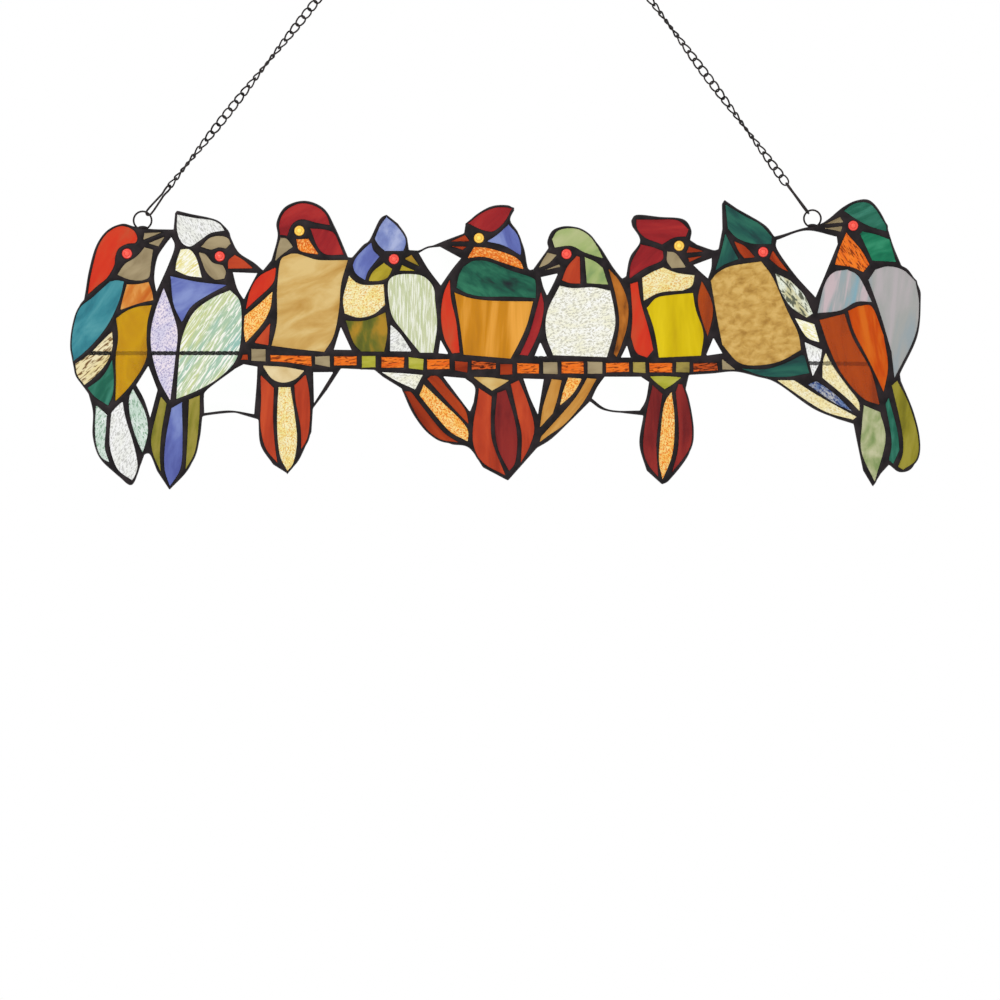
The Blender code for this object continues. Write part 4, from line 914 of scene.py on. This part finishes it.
jewels = {name: jewel_material(name + "_jewel", *pair) for name, pair in EYE_COLOURS.items()}
for bird, (glass, x, y) in EYES.items():
    bm = bmesh.new()
    profile = [bm.verts.new((r, -height, 0)) for r, height, _ in EYE_PROFILE]
    edges = [bm.edges.new(pair) for pair in zip(profile, profile[1:])]
    bmesh.ops.spin(bm, geom=profile + edges, cent=(0, 0, 0), axis=(0, 1, 0), angle=2 * math.pi,
                   steps=EYE_SIDES, use_merge=True)
    bmesh.ops.remove_doubles(bm, verts=bm.verts, dist=SAME_PLACE)
    bmesh.ops.recalc_face_normals(bm, faces=bm.faces)
    layer = bm.verts.layers.float_color.new("shade")
    for v in bm.verts:
        v[layer] = (shade_at(v.co),) * 3 + (1,)
    bmesh.ops.translate(bm, vec=at((x, y)), verts=bm.verts)
    eye = piece(f"{bird}_eye_jewel", bm, f"{glass}_eye_glass", f"{bird}_eye")
    eye.data.materials.append(jewels[glass])
print("jewels:", len(EYES), "in", len(jewels), "colours")

# %% [markdown]
# ## Wires
#
# The rings, the hooks, the brace and every chain link are bent from drawn wire. A circle is set
# square to the wire's path at each of its points, and each circle is bridged to the next. A curve
# with a bevel would do too, but its caps are loose and it has to be made a mesh afterwards.

# %% A helper that sweeps a round wire
DEPTH = Vector((0, 1, 0))


def sweep(bm, path, radius, sides, up, closed):
    """Adds a wire along the path. Up is any direction not along the path."""
    count = len(path)
    rings = []
    for i, p in enumerate(path):
        before = path[i - 1] if closed or i else p
        after = path[(i + 1) % count] if closed or i < count - 1 else p
        along = (after - before).normalized()
        across = along.cross(up).normalized()
        place = Matrix.Translation(p) @ Matrix(
            (across, along.cross(across), along)).transposed().to_4x4()
        ring = bmesh.ops.create_circle(bm, segments=sides, radius=radius, matrix=place)["verts"]
        rings.append(sorted({e for v in ring for e in v.link_edges}, key=lambda e: e.index))
    pairs = list(zip(rings, rings[1:]))
    if closed:
        pairs.append((rings[-1], rings[0]))
    for near, far in pairs:
        bmesh.ops.bridge_loops(bm, edges=near + far)
    if not closed:
        bmesh.ops.holes_fill(bm, edges=rings[0] + rings[-1])
    bmesh.ops.recalc_face_normals(bm, faces=bm.faces)


# %% [markdown]
# ## Rings, solder blobs and hooks
#
# A ring stands on the panel's top edge at each end, with its foot sunk in a blob of solder. A long
# wire hook is threaded through it. Its wire runs up both sides, narrows to a waist and opens
# again into the small eye that holds the chain.

# %% A ring and its solder
RING_WIRE = 0.0014
RING_STEPS = 40
BLOB = (0.0036, 0.0017, 0.0013)  # half its length, depth and height
BLOB_BELOW = 0.6  # squares from the ring's foot down to the blob's middle
RINGS = {
    "left": {"centre": (142.6, 220.4), "radius": 0.00648, "foot": 227.0, "turn": math.radians(45)},
    "right": {"centre": (812.4, 218.6), "radius": 0.00612, "foot": 225.0, "turn": math.radians(90)},
}


def make_ring(side, centre, radius):
    bm = bmesh.new()
    turns = [2 * math.pi * i / RING_STEPS for i in range(RING_STEPS)]
    path = [centre + radius * Vector((math.cos(a), 0, math.sin(a))) for a in turns]
    sweep(bm, path, RING_WIRE / 2, sides=10, up=DEPTH, closed=True)
    piece(f"ring_{side}_wire", bm, "dark_wire", f"ring_{side}").data.materials.append(WIRE)


def make_blob(side, x, foot):
    bm = bmesh.new()
    bmesh.ops.create_uvsphere(bm, u_segments=20, v_segments=12, radius=1.0)
    bmesh.ops.scale(bm, vec=BLOB, verts=bm.verts)
    bmesh.ops.translate(bm, vec=at((x, foot + BLOB_BELOW)), verts=bm.verts)
    piece(f"ring_{side}_solder", bm, "patinated_lead").data.materials.append(SOLDER)


# %% A hook
TOP = at(HANGING_POINT)
HOOK_WIRE = 0.0015
HOOK_LENGTH = 0.0270
HOOK_SHAPE = (  # share of its length, half its width
    (0.0, 0.0), (0.012, 0.0013), (0.035, 0.0023), (0.09, 0.0031), (0.20, 0.0031), (0.32, 0.0027),
    (0.45, 0.0022), (0.58, 0.0017), (0.68, 0.0013), (0.76, 0.0016), (0.84, 0.0021), (0.92, 0.0022),
    (0.97, 0.0015), (0.992, 0.0008), (1.0, 0.0),
)


def make_hook(side, centre, radius, turn):
    """Gives the hook's far end, and the directions along the chain and across it."""
    along = (TOP - centre).normalized()
    flat = along.cross(DEPTH).normalized()
    across = flat * math.cos(turn) + DEPTH * math.sin(turn)
    base = centre + along * (radius - (RING_WIRE + HOOK_WIRE) / 2)
    shape = list(HOOK_SHAPE) + [(share, -width) for share, width in HOOK_SHAPE[-2:0:-1]]
    path = [base + along * (share * HOOK_LENGTH) + across * width for share, width in shape]
    bm = bmesh.new()
    sweep(bm, path, HOOK_WIRE / 2, sides=8, up=along.cross(across), closed=True)
    piece(f"hook_{side}_wire", bm, "dark_wire", f"hook_{side}").data.materials.append(WIRE)
    return base + along * HOOK_LENGTH, along, flat


# %% Make both rings and both hooks
hooks = {}
for side, ring in RINGS.items():
    centre = at(ring["centre"])
    make_ring(side, centre, ring["radius"])
    make_blob(side, ring["centre"][0], ring["foot"])
    hooks[side] = make_hook(side, centre, ring["radius"], ring["turn"])
    print(side, "hook's far end:", [round(c, 4) for c in hooks[side][0]])

# %% [markdown]
# ## The chain
#
# It is a curb chain: each link is an oval of wire, twisted about its length so that its ends lie
# across its neighbours' ends. The whole chain also turns a little from link to link, so it is seen
# flat in some places and from its edge in others. One link is swept once, and copies of it are set
# along both runs. The two runs meet in the top link, which goes over a nail.

# %% Bend one link
LINK_WIRE = 0.0013
LINK_PITCH = 0.0070
LINK_WIDTH = 0.0067
LINK_ROUNDNESS = 0.8  # 1 is an ellipse, and less is nearer to a rectangle
LINK_TWIST = math.radians(36)  # of each end, from the link's middle


def oval(length, width, steps, twist=0.0):
    """The middle line of an oval link along X, its ends twisted either way out of the XZ plane."""
    points = []
    for i in range(steps):
        a = 2 * math.pi * i / steps
        x, z = (math.copysign(abs(c) ** LINK_ROUNDNESS, c) for c in (math.cos(a), math.sin(a)))
        point = Vector((length / 2 * x, 0, width / 2 * z))
        points.append(Matrix.Rotation(twist * math.cos(a), 3, "X") @ point)
    return points


bm = bmesh.new()
path = oval(LINK_PITCH + LINK_WIRE, LINK_WIDTH - LINK_WIRE, steps=16, twist=LINK_TWIST)
sweep(bm, path, LINK_WIRE / 2, sides=6, up=DEPTH, closed=True)
link_mesh = bpy.data.meshes.new("one_link")
bm.to_mesh(link_mesh)
bm.free()
print("faces of a link:", len(link_mesh.polygons))

# %% Set the links along both runs
TOP_LINK_LENGTH = 0.0093
TOP_LINK_WIDTH = 0.0070
FIRST_TURN = {"left": math.radians(69), "right": math.radians(-7)}
TURN_PER_LINK = math.radians(13.5)

for side, (start, along, flat) in hooks.items():
    end = TOP - along * (TOP_LINK_LENGTH / 2)
    run = (end - start).length + LINK_WIRE
    count = round(run / LINK_PITCH)
    pitch = run / count
    bm = bmesh.new()
    for i in range(count):
        middle = start - along * (LINK_WIRE / 2) + along * (pitch * (i + 0.5))
        turn = Matrix.Rotation(FIRST_TURN[side] + TURN_PER_LINK * i, 3, along)
        wide = turn @ flat
        place = Matrix((along, along.cross(wide) * -1, wide)).transposed().to_4x4()
        before = len(bm.verts)
        bm.from_mesh(link_mesh)
        bm.verts.ensure_lookup_table()
        bmesh.ops.transform(bm, matrix=Matrix.Translation(middle) @ place, verts=bm.verts[before:])
    piece(f"chain_{side}_links", bm, "dark_wire", f"chain_{side}").data.materials.append(WIRE)
    print(side, "links:", count)
bpy.data.meshes.remove(link_mesh)
bm = bmesh.new()
path = oval(TOP_LINK_LENGTH, TOP_LINK_WIDTH, steps=24)
sweep(bm, path, LINK_WIRE / 2, sides=8, up=DEPTH, closed=True)
piece("chain_top_link_wire", bm, "dark_wire", "chain_top_link").data.materials.append(WIRE)

# %% [markdown]
# ## The brace wire
#
# A long panel sags, so a wire is soldered across its back. It is two strands twisted together,
# and through the lighter panes its twist shows as a dark, knotted line.

# %% Twist the brace
BRACE_PATH = (
    (84, 353), (160, 353), (240, 353), (330, 354), (470, 356.5), (640, 360), (735, 362), (880, 364),
)
BRACE_DEPTH = 0.00385
STRAND_RADIUS = 0.0011
STRAND_OUT = 0.00055  # from the brace's middle line
TWIST_LENGTH = 0.0086
TWIST_STEPS = 8
line = through([Vector(p) for p in BRACE_PATH], steps=50)
centre_line = [at(p, BRACE_DEPTH) for p in even(line, squares(TWIST_LENGTH / TWIST_STEPS))]
bm = bmesh.new()
for strand in range(2):
    path = []
    for i, p in enumerate(centre_line):
        a = 2 * math.pi * i / TWIST_STEPS + math.pi * strand
        path.append(p + STRAND_OUT * Vector((0, math.cos(a), math.sin(a))))
    sweep(bm, path, STRAND_RADIUS, sides=8, up=DEPTH, closed=False)
piece("brace_strands", bm, "dark_wire", "brace_wire").data.materials.append(SOLDER)
print("turns of the brace:", round(len(centre_line) / TWIST_STEPS))

# %% [markdown]
# ## The room, the light and the camera
#
# Glass is only as bright as what is behind it, so the world is plain white. A large soft light
# stands in front and to the left, for a gleam on the solder. The camera looks straight at the
# panel through a long lens, and its frame cuts the chain where the picture does.

# %% The world and the floor
FLOOR_BELOW = 1.25
FLOOR_RADIUS = 1.9
scene = bpy.context.scene
scene.view_settings.view_transform = "Standard"

world = bpy.data.worlds.new("white_room")
world.use_nodes = True
world.node_tree.nodes["Background"].inputs["Color"].default_value = (1, 1, 1, 1)
world.node_tree.nodes["Background"].inputs["Strength"].default_value = 1.0
scene.world = world

bm = bmesh.new()
bmesh.ops.create_circle(bm, cap_ends=True, segments=96, radius=FLOOR_RADIUS,
                        matrix=Matrix.Translation((0, 0, -FLOOR_BELOW)))
floor_mesh = bpy.data.meshes.new("floor")
bm.to_mesh(floor_mesh)
bm.free()
floor = bpy.data.objects.new("floor", floor_mesh)
scene.collection.objects.link(floor)
floor_finish = Nodes("pale_floor")
mottle = floor_finish.noise(floor_finish.object_place(), 3)
greys = ((0.3, paint(238, 238, 238)), (0.7, paint(244, 244, 244)))
floor_finish.shade(Base_Color=floor_finish.ramp(mottle, *greys), Roughness=0.8)
floor.data.materials.append(floor_finish.material)
print("floor:", FLOOR_BELOW, "m below the hanging point")

# %% The light and the camera
LENS = 110.0
SENSOR = 36.0
FRAME_SQUARES = 1000.0  # the width of the whole picture


def soft_light(name, place, target, size, watts):
    data = bpy.data.lights.new(name, "AREA")
    data.size = size
    data.energy = watts
    lamp = bpy.data.objects.new(name, data)
    lamp.location = place
    lamp.rotation_euler = (Vector(target) - Vector(place)).to_track_quat("-Z", "Y").to_euler()
    scene.collection.objects.link(lamp)


middle = at((FRAME_SQUARES / 2, FRAME_SQUARES / 2))
soft_light("key_light", middle + Vector((-0.9, -1.6, 1.0)), middle, size=0.9, watts=9.0)

camera_data = bpy.data.cameras.new("camera")
camera_data.lens = LENS
camera_data.sensor_width = SENSOR
camera = bpy.data.objects.new("camera", camera_data)
camera.location = middle - DEPTH * (LENS / SENSOR * FRAME_SQUARES * SQUARE)
camera.rotation_euler = (math.pi / 2, 0, 0)
scene.collection.objects.link(camera)
scene.camera = camera
print("camera's distance:", round(-camera.location.y, 2), "m")
